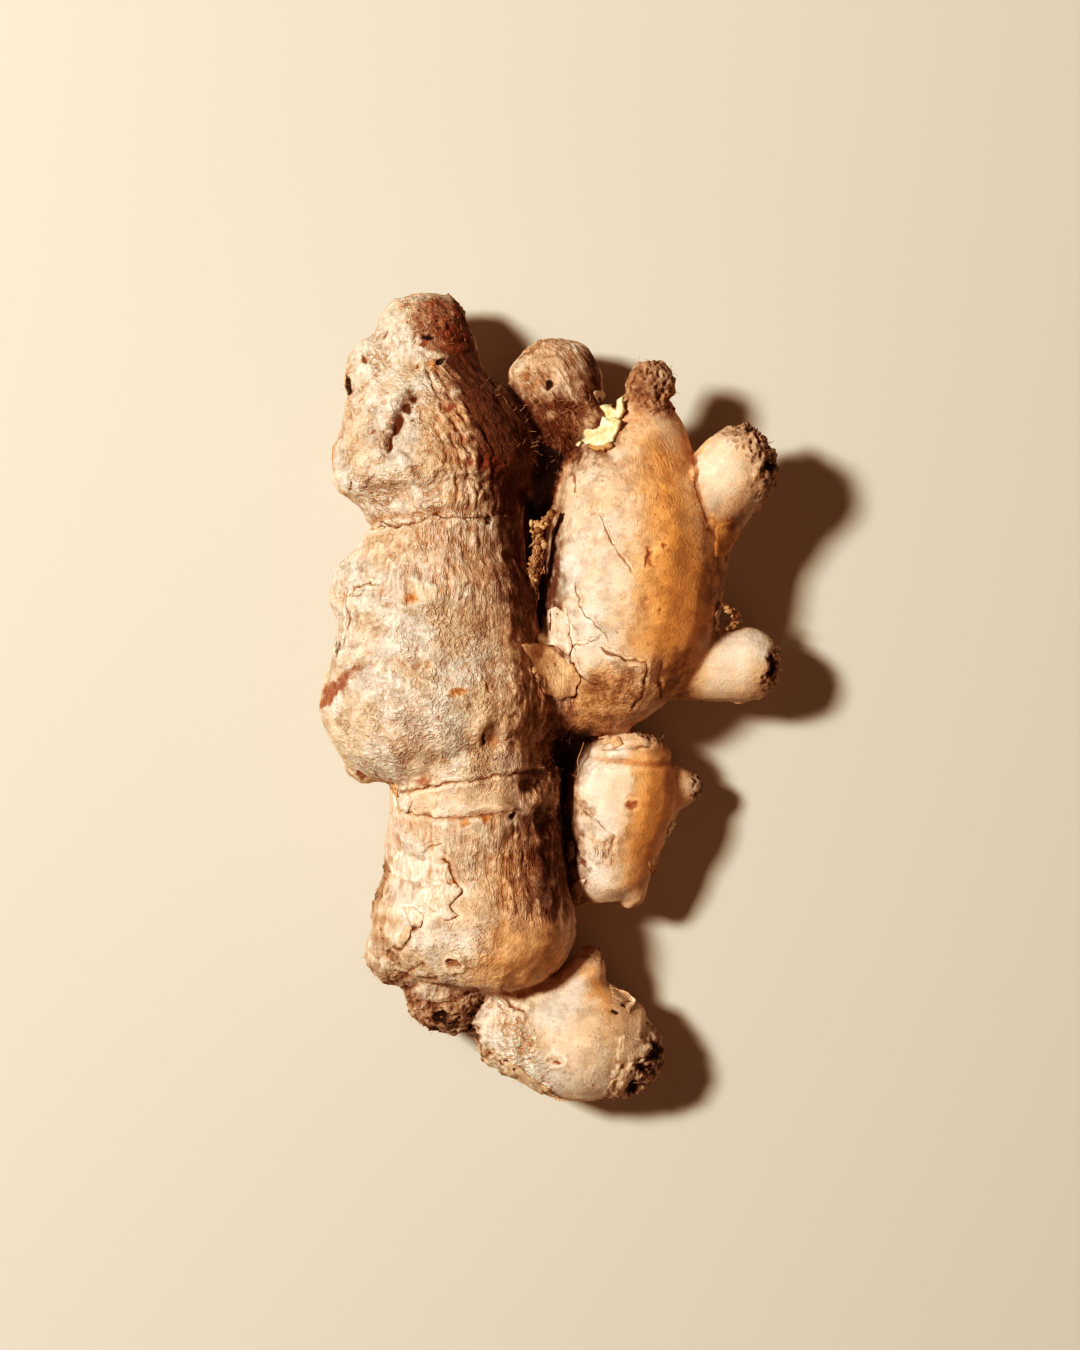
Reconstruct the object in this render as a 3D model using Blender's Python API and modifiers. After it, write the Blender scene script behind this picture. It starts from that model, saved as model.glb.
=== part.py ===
"""A hand of fresh ginger root: one knobbly rhizome that lies flat, +Z up, in metres.

The root lies along Y. A thick trunk of three swollen joints runs down the left side, and
shorter fingers branch off it to the right, each with its own buds and blunt shoot stubs.
Everything grew as one piece, so the limbs are fused into one solid here.
"""

import bmesh
import bpy
import numpy as np
from mathutils import Vector, noise

MM = 0.001

# Driving sizes, in millimetres
VOXEL = 0.9  # grid on which the limbs are fused
SMOOTH_ROUNDS = 5  # softens the creases where two limbs meet
PLUMP = 0.25  # what the softening takes off the round forms, given back
TRIANGLES = 10500  # of the finished solid
LUMP_HEIGHT = 0.55  # gentle unevenness of the whole skin
LUMP_SPACING = 13.0
RIB_HEIGHT = 0.45  # shrunken ribs along the older joints
RIB_SPACING = 3.6
RIB_LENGTH = 22.0
FLOOR = 0.0  # the low points are pared flat here

# Each limb is a tapering tube: height over width, then stations (x, y, z, radius).
LIMBS = {
    "crown_tip": (0.90, [
        (-23.0, 80.8, 15.6, 1.6), (-23.2, 79.6, 15.6, 4.6), (-23.8, 77.4, 15.8, 7.4),
        (-24.8, 74.6, 16.2, 9.2), (-25.2, 71.2, 16.8, 10.0), (-25.0, 67.0, 17.2, 10.2),
        (-24.4, 61.5, 17.8, 10.0),
    ]),
    "crown": (0.84, [
        (-25.4, 71.8, 17.4, 6.6), (-25.4, 70.2, 17.4, 9.8), (-25.4, 67.0, 17.4, 11.0),
        (-25.3, 63.6, 17.4, 13.0), (-25.1, 59.6, 17.4, 16.6), (-24.2, 54.6, 17.4, 19.0),
        (-23.0, 49.6, 17.4, 20.9), (-22.4, 45.6, 17.4, 21.2), (-22.0, 42.4, 17.4, 19.4),
        (-21.8, 39.4, 17.6, 16.6), (-21.6, 35.6, 18.0, 14.6), (-21.6, 30.0, 18.6, 14.2),
    ]),
    "trunk": (0.82, [
        (-21.6, 35.0, 18.6, 14.2), (-21.8, 30.6, 18.8, 14.8), (-22.2, 26.6, 19.6, 17.4),
        (-22.6, 20.6, 20.4, 19.8), (-22.6, 13.6, 20.6, 20.2), (-22.6, 7.0, 20.6, 21.2),
        (-22.6, 2.6, 20.6, 22.6), (-22.4, -2.2, 20.6, 23.2), (-22.0, -6.4, 20.6, 22.2),
        (-21.6, -9.8, 20.5, 19.6), (-21.2, -12.6, 20.4, 15.8), (-20.9, -15.2, 20.2, 11.6),
        (-20.8, -17.4, 20.0, 6.0),
    ]),
    "spine": (1.10, [
        (-20.6, 50.0, 17.0, 13.0), (-20.4, 40.0, 17.2, 14.6), (-20.2, 30.0, 17.6, 14.8),
        (-19.2, 18.0, 18.2, 15.2), (-17.6, 0.0, 18.4, 15.6), (-16.4, -12.0, 18.0, 15.6),
        (-15.4, -24.0, 17.4, 15.2), (-15.4, -36.0, 16.8, 14.0),
    ]),
    "heel": (0.84, [
        (-14.8, -10.0, 17.4, 12.0), (-14.8, -15.6, 17.4, 16.4), (-14.9, -22.8, 17.4, 17.1),
        (-15.0, -29.4, 17.3, 17.9), (-15.0, -35.6, 17.2, 18.4), (-15.1, -41.4, 17.1, 20.2),
        (-15.4, -46.6, 17.0, 20.8), (-15.8, -51.0, 16.8, 19.0), (-16.2, -54.6, 16.6, 15.6),
        (-16.5, -57.2, 16.4, 11.0), (-16.7, -58.8, 16.4, 6.0),
    ]),
    "heel_knob": (0.90, [
        (-20.8, -53.0, 13.6, 10.4), (-20.8, -57.4, 12.8, 9.4), (-20.4, -61.4, 12.0, 7.6),
        (-19.8, -64.6, 11.4, 5.4), (-19.4, -66.8, 11.0, 2.8),
    ]),
    "palm": (0.90, [
        (21.2, 66.2, 21.6, 3.2), (20.8, 63.8, 21.4, 4.3), (20.2, 60.6, 21.0, 4.7),
        (19.7, 57.0, 20.0, 5.8), (19.6, 53.4, 19.0, 8.2), (19.0, 50.0, 18.0, 11.0),
        (18.2, 45.6, 16.8, 14.2), (18.0, 40.0, 16.2, 16.4), (18.2, 33.6, 16.0, 18.0),
        (18.0, 27.0, 16.0, 18.5), (17.2, 20.6, 16.0, 18.4), (16.0, 14.0, 16.2, 17.8),
        (14.4, 8.0, 16.4, 15.8), (13.0, 2.4, 16.6, 12.6), (12.2, -2.4, 16.4, 9.0),
        (12.0, -6.4, 15.8, 4.0),
    ]),
    "palm_bud_high": (1.0, [
        (23.0, 28.0, 17.0, 10.0), (29.6, 35.4, 18.0, 9.2), (34.6, 41.2, 19.2, 8.2),
        (38.4, 45.8, 20.0, 8.1), (41.4, 48.8, 20.2, 6.8), (43.4, 50.8, 20.2, 3.8),
    ]),
    "palm_bud_low": (1.0, [
        (20.0, 8.0, 13.6, 9.4), (28.0, 7.2, 14.0, 7.8), (35.0, 6.6, 14.6, 7.2),
        (40.8, 6.4, 15.0, 7.2), (44.4, 6.0, 15.2, 5.6), (46.4, 5.8, 15.2, 2.6),
    ]),
    "thumb": (0.95, [
        (1.2, 71.6, 12.4, 3.2), (1.4, 70.0, 12.5, 6.4), (1.6, 66.6, 12.8, 8.9),
        (1.6, 62.4, 13.0, 9.7), (1.0, 57.4, 13.2, 9.6), (-0.6, 52.0, 13.4, 8.4),
        (-3.6, 47.0, 14.0, 8.0), (-8.0, 42.0, 15.0, 8.0),
    ]),
    "ring_finger": (1.0, [
        (17.0, -7.6, 13.0, 4.6), (16.9, -9.4, 12.9, 7.2), (16.7, -13.4, 12.7, 9.2),
        (16.0, -18.4, 12.4, 10.9), (14.9, -23.4, 12.2, 11.1), (13.5, -29.2, 12.0, 9.8),
        (12.8, -34.2, 12.0, 8.8), (12.8, -38.2, 11.8, 7.4), (13.4, -41.0, 11.6, 4.4),
    ]),
    "ring_bud_side": (1.0, [
        (18.0, -18.6, 11.6, 7.6), (24.0, -18.6, 10.8, 5.6), (28.4, -18.2, 10.4, 3.8),
        (31.0, -17.8, 10.2, 1.8),
    ]),
    "ring_bud_end": (1.0, [
        (14.0, -34.0, 12.6, 5.0), (16.6, -39.0, 12.8, 3.8), (17.4, -42.0, 12.8, 2.0),
    ]),
    "little_finger": (0.95, [
        (-13.6, -67.0, 13.4, 4.6), (-10.8, -66.6, 13.0, 7.6), (-6.4, -67.0, 12.6, 9.8),
        (-1.2, -67.8, 12.4, 11.4), (4.8, -68.8, 12.2, 12.4), (10.0, -70.0, 12.0, 12.0),
        (14.2, -71.2, 11.8, 10.2), (17.8, -72.6, 11.6, 7.8), (20.6, -73.4, 11.4, 5.0),
        (22.2, -73.8, 11.4, 2.4),
    ]),
    "little_bud": (1.0, [
        (4.0, -64.0, 13.0, 8.4), (7.0, -57.6, 13.8, 5.0), (8.6, -53.2, 14.2, 2.9),
        (9.0, -50.6, 14.4, 1.2),
    ]),
    "palm_neck": (0.95, [
        (-12.0, 4.0, 17.0, 12.0), (-3.0, 2.4, 16.2, 11.0), (5.0, 1.2, 15.8, 9.6),
        (12.0, 1.0, 15.8, 8.6),
    ]),
    "cleft_floor": (0.60, [
        (-6.0, 47.0, 10.6, 6.0), (-3.4, 41.0, 10.2, 8.2), (-2.6, 34.0, 10.0, 8.6),
        (-2.4, 25.0, 10.2, 8.6), (-2.0, 14.0, 11.0, 8.6),
    ]),
    "ring_neck": (0.85, [
        (14.0, -34.0, 10.0, 5.4), (6.0, -38.0, 9.8, 4.6), (-3.0, -39.0, 10.0, 5.6),
    ]),
    "ring_floor": (0.65, [
        (4.0, -4.0, 10.4, 6.4), (4.6, -12.0, 9.6, 6.0), (4.4, -21.0, 9.4, 5.6),
        (4.2, -31.0, 9.8, 5.2),
    ]),
    "little_neck": (0.9, [
        (-13.4, -53.0, 13.0, 6.6), (-8.6, -59.6, 12.2, 6.0), (-5.0, -65.0, 12.0, 7.0),
    ]),
}

# Buds and swellings that sit on the limbs: centre (x, y, z) and the three half sizes.
SWELLINGS = {
    "crown_shoulder": ((-35.2, 64.4, 17.2), (6.4, 7.6, 7.0)),
    "crown_side": ((-37.0, 56.0, 17.2), (5.0, 6.0, 6.0)),
    "crown_cheek": ((-37.6, 48.2, 17.0), (6.2, 6.8, 8.0)),
    "trunk_eye": ((-38.4, 20.6, 19.4), (6.0, 7.6, 7.0)),
    "trunk_elbow": ((-39.8, -2.0, 19.6), (6.6, 7.0, 8.0)),
    "trunk_corner": ((-34.2, -8.6, 18.8), (8.4, 8.2, 10.0)),
    "trunk_corner_tip": ((-37.0, -13.2, 17.6), (4.6, 4.0, 5.0)),
    "heel_corner": ((-30.6, -51.0, 15.6), (6.4, 7.0, 7.0)),
    "little_shoulder": ((10.8, -62.0, 12.6), (3.4, 4.2, 4.4)),
    "little_belly": ((5.4, -77.0, 11.6), (9.4, 4.4, 5.2)),
    "little_heel": ((-8.8, -71.2, 12.0), (4.8, 4.0, 4.6)),
    "torn_stub": ((9.8, 54.8, 17.6), (5.0, 3.4, 3.2)),
}

# Leaf scars: limb, the scar's share of the limb's length, depth, lip, half width.
RINGS = [
    ("crown", 0.55, 0.35, 0.25, 0.9),
    ("crown", 0.86, 0.80, 0.40, 1.0),
    ("trunk", 0.56, 0.30, 0.25, 1.2),
    ("heel", 0.26, 0.50, 0.30, 1.0),
    ("heel", 0.72, 0.35, 0.25, 1.2),
    ("palm", 0.09, 0.70, 0.30, 0.8),
    ("palm_bud_high", 0.62, 0.45, 0.25, 0.9),
    ("palm_bud_low", 0.78, 0.35, 0.25, 0.8),
    ("thumb", 0.28, 0.35, 0.20, 0.9),
    ("ring_finger", 0.14, 0.55, 0.35, 0.8),
    ("little_finger", 0.24, 0.45, 0.35, 1.0),
    ("little_finger", 0.84, 0.45, 0.35, 0.9),
]

DRY_LIMBS = ("crown", "trunk", "heel")

# Where the root touches what it lies on: (x, y) and how far round each the skin sags, millimetres
FEET = [(-21.0, 46.0), (-15.5, -42.0), (17.5, 24.0)]
FOOT_REACH = 11.0
FOOT_SINK = 0.6

SKIN_COLOUR = (0.66, 0.45, 0.27, 1.0)
SKIN_ROUGHNESS = 0.75


def clear_scene():
    """Starts from an empty scene."""
    for thing in list(bpy.data.objects):
        bpy.data.objects.remove(thing)


def link(name, data, collection):
    """A new object in a collection."""
    made = bpy.data.objects.new(name, data)
    collection.objects.link(made)
    return made


def limb_curve(name, flatness, stations, collection):
    """A tapering tube through its stations, squeezed in height by flatness."""
    curve = bpy.data.curves.new(name, "CURVE")
    curve.dimensions = "3D"
    curve.resolution_u = 5
    curve.bevel_depth = MM
    curve.bevel_resolution = 6
    curve.use_fill_caps = True
    spline = curve.splines.new("BEZIER")
    spline.radius_interpolation = "CARDINAL"
    spline.bezier_points.add(len(stations) - 1)
    for point, (x, y, z, radius) in zip(spline.bezier_points, stations):
        point.co = Vector((x, y, z / flatness)) * MM
        point.radius = radius
        point.handle_left_type = "AUTO"
        point.handle_right_type = "AUTO"
    limb = link(name, curve, collection)
    limb.scale = (1.0, 1.0, flatness)
    return limb


def swelling(name, centre, half_sizes, collection):
    """An egg-shaped bulge in the skin."""
    shape = bmesh.new()
    bmesh.ops.create_uvsphere(shape, u_segments=24, v_segments=16, radius=MM)
    mesh = bpy.data.meshes.new(name)
    shape.to_mesh(mesh)
    shape.free()
    bulge = link(name, mesh, collection)
    bulge.location = Vector(centre) * MM
    bulge.scale = half_sizes
    return bulge


def pooled_mesh(name, guides):
    """One mesh that holds every guide's faces in world space, each shell closed."""
    bpy.context.view_layer.update()
    graph = bpy.context.evaluated_depsgraph_get()
    pool = bmesh.new()
    for guide in guides:
        mesh = bpy.data.meshes.new_from_object(guide.evaluated_get(graph))
        mesh.transform(guide.matrix_world)
        pool.from_mesh(mesh)
        bpy.data.meshes.remove(mesh)
    bmesh.ops.remove_doubles(pool, verts=pool.verts, dist=1e-6)
    mesh = bpy.data.meshes.new(name)
    pool.to_mesh(mesh)
    pool.free()
    return mesh


def apply_modifiers(thing):
    """Keeps the shape that the modifiers make and drops the modifiers."""
    graph = bpy.context.evaluated_depsgraph_get()
    mesh = bpy.data.meshes.new_from_object(thing.evaluated_get(graph))
    thing.modifiers.clear()
    old = thing.data
    thing.data = mesh
    bpy.data.meshes.remove(old)


def fuse(thing, rounds):
    """Melts overlapping skins into one on a fine grid, and softens the creases."""
    remesh = thing.modifiers.new("fuse", "REMESH")
    remesh.mode = "VOXEL"
    remesh.voxel_size = VOXEL * MM
    smooth = thing.modifiers.new("soften", "SMOOTH")
    smooth.factor = 0.5
    smooth.iterations = rounds
    apply_modifiers(thing)


class Centrelines:
    """Points along every limb's middle, to tell which limb a piece of skin grows on."""

    def __init__(self, step=1.0):
        rows, limbs, shares, tangents = [], [], [], []
        for number, (_, stations) in enumerate(LIMBS.values()):
            marks = np.array(stations)
            lengths = np.linalg.norm(np.diff(marks[:, :3], axis=0), axis=1)
            run = np.concatenate([[0.0], np.cumsum(lengths)])
            at = np.linspace(0.0, run[-1], max(2, int(run[-1] / step)))
            row = np.stack([np.interp(at, run, marks[:, k]) for k in range(4)], axis=1)
            rows.append(row)
            limbs.append(np.full(len(at), number))
            shares.append(at / run[-1])
            tangents.append(np.gradient(row[:, :3], axis=0))
        self.rows = np.concatenate(rows)
        self.limbs = np.concatenate(limbs)
        self.shares = np.concatenate(shares)
        self.tangents = np.concatenate(tangents)
        self.tangents /= np.linalg.norm(self.tangents, axis=1)[:, None]

    def nearest(self, points):
        """The sample whose limb a point's skin belongs to: nearest for its thickness."""
        best = np.full(len(points), np.inf)
        owner = np.zeros(len(points), int)
        for number, (x, y, z, radius) in enumerate(self.rows):
            far = np.linalg.norm(points - (x, y, z), axis=1) / max(radius, 3.0)
            closer = far < best
            best[closer] = far[closer]
            owner[closer] = number
        return owner


def noise_at(points, spacing, seed):
    """Smooth noise, from about -1 to 1, with lumps about spacing millimetres apart."""
    shift = Vector((seed * 17.3, seed * -9.1, seed * 5.7))
    return np.array([noise.noise(Vector(p) / spacing + shift) for p in points])


def ring_relief(points, lines, owner):
    """A groove under one raised lip, fading in places, where a leaf once wrapped round a limb."""
    relief = np.zeros(len(points))
    names = list(LIMBS)
    wander = 1.1 * noise_at(points, 9.0, 3)
    presence = np.clip(0.75 + 0.8 * noise_at(points, 12.0, 4), 0.2, 1.2)
    for limb, share, depth, lip, half_width in RINGS:
        number = names.index(limb)
        samples = np.flatnonzero(lines.limbs == number)
        centre = samples[np.argmin(np.abs(lines.shares[samples] - share))]
        along = (points - lines.rows[centre, :3]) @ lines.tangents[centre] + wander
        groove = -depth * np.exp(-(along / half_width) ** 2)
        raised = lip * np.exp(-((along + 2.0 * half_width) / half_width) ** 2)
        on_limb = lines.limbs[owner] == number
        relief += np.where(on_limb, presence * (groove + raised), 0.0)
    return relief


def rib_relief(points, lines, owner):
    """Shallow uneven ribs that run lengthwise, strongest on the older, drier joints."""
    middle = lines.rows[owner]
    out = points - middle[:, :3]
    girth = np.arctan2(out[:, 2], out[:, 0]) * middle[:, 3]
    unrolled = np.stack([girth / RIB_SPACING, points[:, 1] / RIB_LENGTH, girth * 0.0], axis=1)
    wave = noise_at(unrolled, 1.0, 5)
    names = list(LIMBS)
    dry = np.isin(lines.limbs[owner], [names.index(name) for name in DRY_LIMBS])
    return RIB_HEIGHT * wave * np.where(dry, 1.0, 0.3)


def raise_relief(thing):
    """Moves the skin in and out by its lumps, leaf scars and ribs."""
    mesh = thing.data
    count = len(mesh.vertices)
    places = np.empty(count * 3)
    normals = np.empty(count * 3)
    mesh.vertices.foreach_get("co", places)
    mesh.vertex_normals.foreach_get("vector", normals)
    points = places.reshape(-1, 3) / MM
    lines = Centrelines()
    owner = lines.nearest(points)
    relief = PLUMP + LUMP_HEIGHT * noise_at(points, LUMP_SPACING, 1)
    relief += 0.5 * LUMP_HEIGHT * noise_at(points, 0.45 * LUMP_SPACING, 2)
    relief += ring_relief(points, lines, owner) + rib_relief(points, lines, owner)
    points += normals.reshape(-1, 3) * relief[:, None]
    mesh.vertices.foreach_set("co", (points * MM).ravel())
    mesh.update()


def keep_outer_skin(thing):
    """Fills any hollow that the fusing sealed, by keeping only the largest shell."""
    shape = bmesh.new()
    shape.from_mesh(thing.data)
    left = set(shape.verts)
    shells = []
    while left:
        shell = set()
        front = [left.pop()]
        while front:
            vertex = front.pop()
            shell.add(vertex)
            near = {edge.other_vert(vertex) for edge in vertex.link_edges} & left
            left -= near
            front.extend(near)
        shells.append(shell)
    shells.sort(key=len)
    for shell in shells[:-1]:
        bmesh.ops.delete(shape, geom=list(shell), context="VERTS")
    shape.to_mesh(thing.data)
    shape.free()


def thin_out(thing):
    """Keeps the form with fewer, larger triangles where the skin is plain."""
    decimate = thing.modifiers.new("thin out", "DECIMATE")
    triangles = 2 * len(thing.data.polygons)
    decimate.ratio = min(1.0, TRIANGLES / triangles)
    decimate.use_collapse_triangulate = True
    apply_modifiers(thing)


def set_down(thing):
    """Lets three low points reach the floor, pares each one flat, and centres the root."""
    mesh = thing.data
    places = np.empty(len(mesh.vertices) * 3)
    mesh.vertices.foreach_get("co", places)
    points = places.reshape(-1, 3) / MM
    for x, y in FEET:
        away = np.hypot(points[:, 0] - x, points[:, 1] - y)
        under = (points[:, 2] < 8.0) & (away < 2 * FOOT_REACH)
        lowest = points[under & (away < FOOT_REACH), 2].min()
        sag = (lowest - FLOOR + FOOT_SINK) * np.exp(-(away / FOOT_REACH) ** 2)
        points[under, 2] -= sag[under]
    points[:, 2] = np.maximum(points[:, 2], FLOOR)
    middle = (points.max(axis=0) + points.min(axis=0)) / 2
    points -= (middle[0], middle[1], 0.0)
    mesh.vertices.foreach_set("co", (points * MM).ravel())
    mesh.update()


def skin_material():
    """Dry, pale brown ginger skin."""
    material = bpy.data.materials.new("ginger_skin")
    material.use_nodes = True
    shader = material.node_tree.nodes["Principled BSDF"]
    shader.inputs["Base Color"].default_value = SKIN_COLOUR
    shader.inputs["Roughness"].default_value = SKIN_ROUGHNESS
    shader.inputs["Metallic"].default_value = 0.0
    return material


def build():
    """Fuses the limbs and swellings into the rhizome, finishes its skin and sets it down."""
    clear_scene()
    root = bpy.data.collections.new("ginger_root")
    bpy.context.scene.collection.children.link(root)
    guides = [limb_curve(name, *limb, root) for name, limb in LIMBS.items()]
    guides += [swelling(name, *egg, root) for name, egg in SWELLINGS.items()]
    rhizome = link("rhizome", pooled_mesh("rhizome", guides), root)
    for guide in guides:
        bpy.data.objects.remove(guide)
    fuse(rhizome, SMOOTH_ROUNDS)
    raise_relief(rhizome)
    fuse(rhizome, 1)
    keep_outer_skin(rhizome)
    thin_out(rhizome)
    set_down(rhizome)
    rhizome.data.materials.clear()
    rhizome.data.materials.append(skin_material())
    rhizome.data.shade_smooth()
    return rhizome


build()
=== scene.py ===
# %% [markdown]
# # A hand of fresh ginger
# Ginger is a rhizome: a swollen stem that creeps under the soil. It grows in joints, each one a
# blunt finger with rings where leaves once wrapped it, buds on its sides and a dry scar where a
# shoot died off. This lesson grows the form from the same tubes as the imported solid, then wrinkles,
# scars and colours the skin, and last adds what comes loose from it: papery scales, torn flesh,
# fibres, hairs and crumbs. All working sizes are millimetres, and MM turns them into metres.

import itertools

import bmesh
import bpy
import numpy as np
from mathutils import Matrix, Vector, geometry
from mathutils.bvhtree import BVHTree


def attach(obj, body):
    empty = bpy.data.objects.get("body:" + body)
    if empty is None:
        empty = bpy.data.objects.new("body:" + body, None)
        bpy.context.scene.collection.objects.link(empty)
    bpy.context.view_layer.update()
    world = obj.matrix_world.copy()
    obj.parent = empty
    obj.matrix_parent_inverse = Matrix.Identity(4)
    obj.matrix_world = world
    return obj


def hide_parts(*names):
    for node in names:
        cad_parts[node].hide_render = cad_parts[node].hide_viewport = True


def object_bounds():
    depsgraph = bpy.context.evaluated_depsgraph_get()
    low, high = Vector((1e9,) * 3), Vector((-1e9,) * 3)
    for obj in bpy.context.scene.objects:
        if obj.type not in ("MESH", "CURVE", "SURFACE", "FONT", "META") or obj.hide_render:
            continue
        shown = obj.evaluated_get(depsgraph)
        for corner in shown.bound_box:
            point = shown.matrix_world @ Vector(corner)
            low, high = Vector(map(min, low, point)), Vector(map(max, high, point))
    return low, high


MM = 0.001
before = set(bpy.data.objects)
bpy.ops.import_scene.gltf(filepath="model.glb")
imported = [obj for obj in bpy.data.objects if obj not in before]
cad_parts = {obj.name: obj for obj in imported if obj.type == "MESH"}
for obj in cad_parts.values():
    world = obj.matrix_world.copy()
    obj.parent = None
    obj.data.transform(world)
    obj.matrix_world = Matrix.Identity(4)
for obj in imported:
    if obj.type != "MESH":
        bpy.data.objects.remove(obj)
cad_low, cad_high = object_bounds()
print("packed box, mm:", [round(side / MM, 1) for side in cad_high - cad_low])

# %% Tools for objects


def add(name, data):
    """A new object in the scene."""
    made = bpy.data.objects.new(name, data)
    bpy.context.scene.collection.objects.link(made)
    return made


def evaluated_mesh(thing):
    """The mesh that an object's modifiers make."""
    return bpy.data.meshes.new_from_object(thing.evaluated_get(bpy.context.evaluated_depsgraph_get()))


def apply_modifiers(thing):
    """Gives an object the mesh that its modifiers make, and takes them away."""
    thing_mesh = evaluated_mesh(thing)
    thing.modifiers.clear()
    thing.data = thing_mesh
    return thing_mesh


# %% [markdown]
# ## The view
# The root is seen from straight above. One pixel of the reference frame covers 0.2 mm on the root's
# middle plane, so a 100 mm lens hangs 750 mm over it. Every mark on the skin is placed through this
# camera: `seen_at` gives the pixel that a point of the skin falls on.

# %% Camera
FRAME_SIZE = np.array((1080.0, 1350.0))
PIXEL = 0.2  # millimetres on the middle plane
LENS = 100.0
SENSOR = 36.0
MIDDLE_PLANE = 20.0
LENS_HEIGHT = PIXEL * FRAME_SIZE[1] * LENS / SENSOR
CAMERA_AT = np.array((-2.2, 4.6, MIDDLE_PLANE + LENS_HEIGHT))

camera_data = bpy.data.cameras.new("overhead")
camera_data.lens = LENS
camera_data.sensor_width = SENSOR
camera = add("overhead", camera_data)
camera.location = Vector(CAMERA_AT) * MM
bpy.context.scene.camera = camera


def seen_at(points):
    """The pixel of the reference frame that each point, in millimetres, falls on."""
    shrink = LENS_HEIGHT / (CAMERA_AT[2] - points[:, 2]) / PIXEL
    across = FRAME_SIZE[0] / 2 + (points[:, 0] - CAMERA_AT[0]) * shrink
    down = FRAME_SIZE[1] / 2 - (points[:, 1] - CAMERA_AT[1]) * shrink
    return np.stack([across, down], axis=1)


def under_pixel(pixel, height):
    """The point at a height, in millimetres, that a pixel shows."""
    spread = (CAMERA_AT[2] - height) / LENS_HEIGHT * PIXEL
    x = CAMERA_AT[0] + (pixel[0] - FRAME_SIZE[0] / 2) * spread
    y = CAMERA_AT[1] - (pixel[1] - FRAME_SIZE[1] / 2) * spread
    return np.array((x, y, height))


print("lens height over the middle plane, mm:", LENS_HEIGHT)

# %% [markdown]
# ## Floor and light
# A plain pale floor, one key light from the upper left that rakes over the wrinkles, and a weak
# warm fill all round, so that the right-hand sides fall into brown shade. The view is Standard, with
# a look that has a little more contrast. Two curves take some green and more blue out of the
# mid-tones, so that these come out as warm as in the reference frame, and leave the light tones.

# %% Floor and lights
FLOOR_HALF = 3.0  # metres
FLOOR_COLOUR = (0.64, 0.59, 0.50, 1.0)
AIM_HEIGHT = 0.02  # metres, the height of the root's middle
LIGHTS = {  # towards the light, distance and size in metres, power in watts, colour
    "key": ((-0.57, 0.22, 0.77), 1.3, 0.20, 21.0, (1.0, 0.96, 0.90)),
    "fill": ((0.35, -0.35, 0.87), 1.5, 1.2, 2.0, (1.0, 0.58, 0.32)),
}
WORLD_COLOUR = (1.0, 0.82, 0.66, 1.0)
WORLD_STRENGTH = 0.06
GREEN_CURVE = [(0.075, 0.053), (0.144, 0.113), (0.225, 0.195), (0.329, 0.308), (0.441, 0.438)]
BLUE_CURVE = [(0.041, 0.022), (0.077, 0.045), (0.128, 0.088), (0.193, 0.150), (0.276, 0.244),
              (0.385, 0.373), (0.504, 0.504)]
CURVES = {1: GREEN_CURVE, 2: BLUE_CURVE}  # by channel: how light goes in and comes out


def flat_material(name, colour, roughness):
    """A plain material, for the floor alone."""
    made = bpy.data.materials.new(name)
    made.use_nodes = True
    shader = made.node_tree.nodes["Principled BSDF"]
    shader.inputs["Base Color"].default_value = colour
    shader.inputs["Roughness"].default_value = roughness
    return made


def area_light(name, towards, distance, size, power, colour):
    """A square soft light that looks at the root from a direction."""
    data = bpy.data.lights.new(name, "AREA")
    data.size = size
    data.energy = power
    data.color = colour
    light = add(name, data)
    aim = Vector(towards).normalized()
    light.location = Vector((0, 0, AIM_HEIGHT)) + aim * distance
    light.rotation_mode = "QUATERNION"
    light.rotation_quaternion = aim.to_track_quat("Z", "Y")


floor_shape = bmesh.new()
bmesh.ops.create_grid(floor_shape, x_segments=1, y_segments=1, size=FLOOR_HALF)
floor_mesh = bpy.data.meshes.new("floor")
floor_shape.to_mesh(floor_mesh)
floor_shape.free()
floor = add("floor", floor_mesh)
floor.data.materials.append(flat_material("pale_floor", FLOOR_COLOUR, roughness=0.9))

for name, light_row in LIGHTS.items():
    area_light(name, *light_row)
world = bpy.data.worlds.new("studio")
world.use_nodes = True
background = world.node_tree.nodes["Background"]
background.inputs["Color"].default_value = WORLD_COLOUR
background.inputs["Strength"].default_value = WORLD_STRENGTH
bpy.context.scene.world = world
view = bpy.context.scene.view_settings
view.view_transform = "Standard"
view.look = "Medium High Contrast"
view.use_curve_mapping = True
for channel, points in CURVES.items():
    for light_in, light_out in points:
        view.curve_mapping.curves[channel].points.new(light_in, light_out)
view.curve_mapping.update()
print("lights:", list(LIGHTS), "view:", view.view_transform, "with", view.look)

# %% [markdown]
# ## The form: tubes that melt together
# Each finger is a tube with its own radius at every station, squeezed a little flat, and small eggs
# bulge where a bud sits. A voxel remesh melts them into one skin, as they grew, and a few rounds of
# smoothing soften the creases. One round of subdivision then gives a skin with no facets, fine
# enough to carry wrinkles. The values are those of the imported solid, so the two agree.

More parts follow.
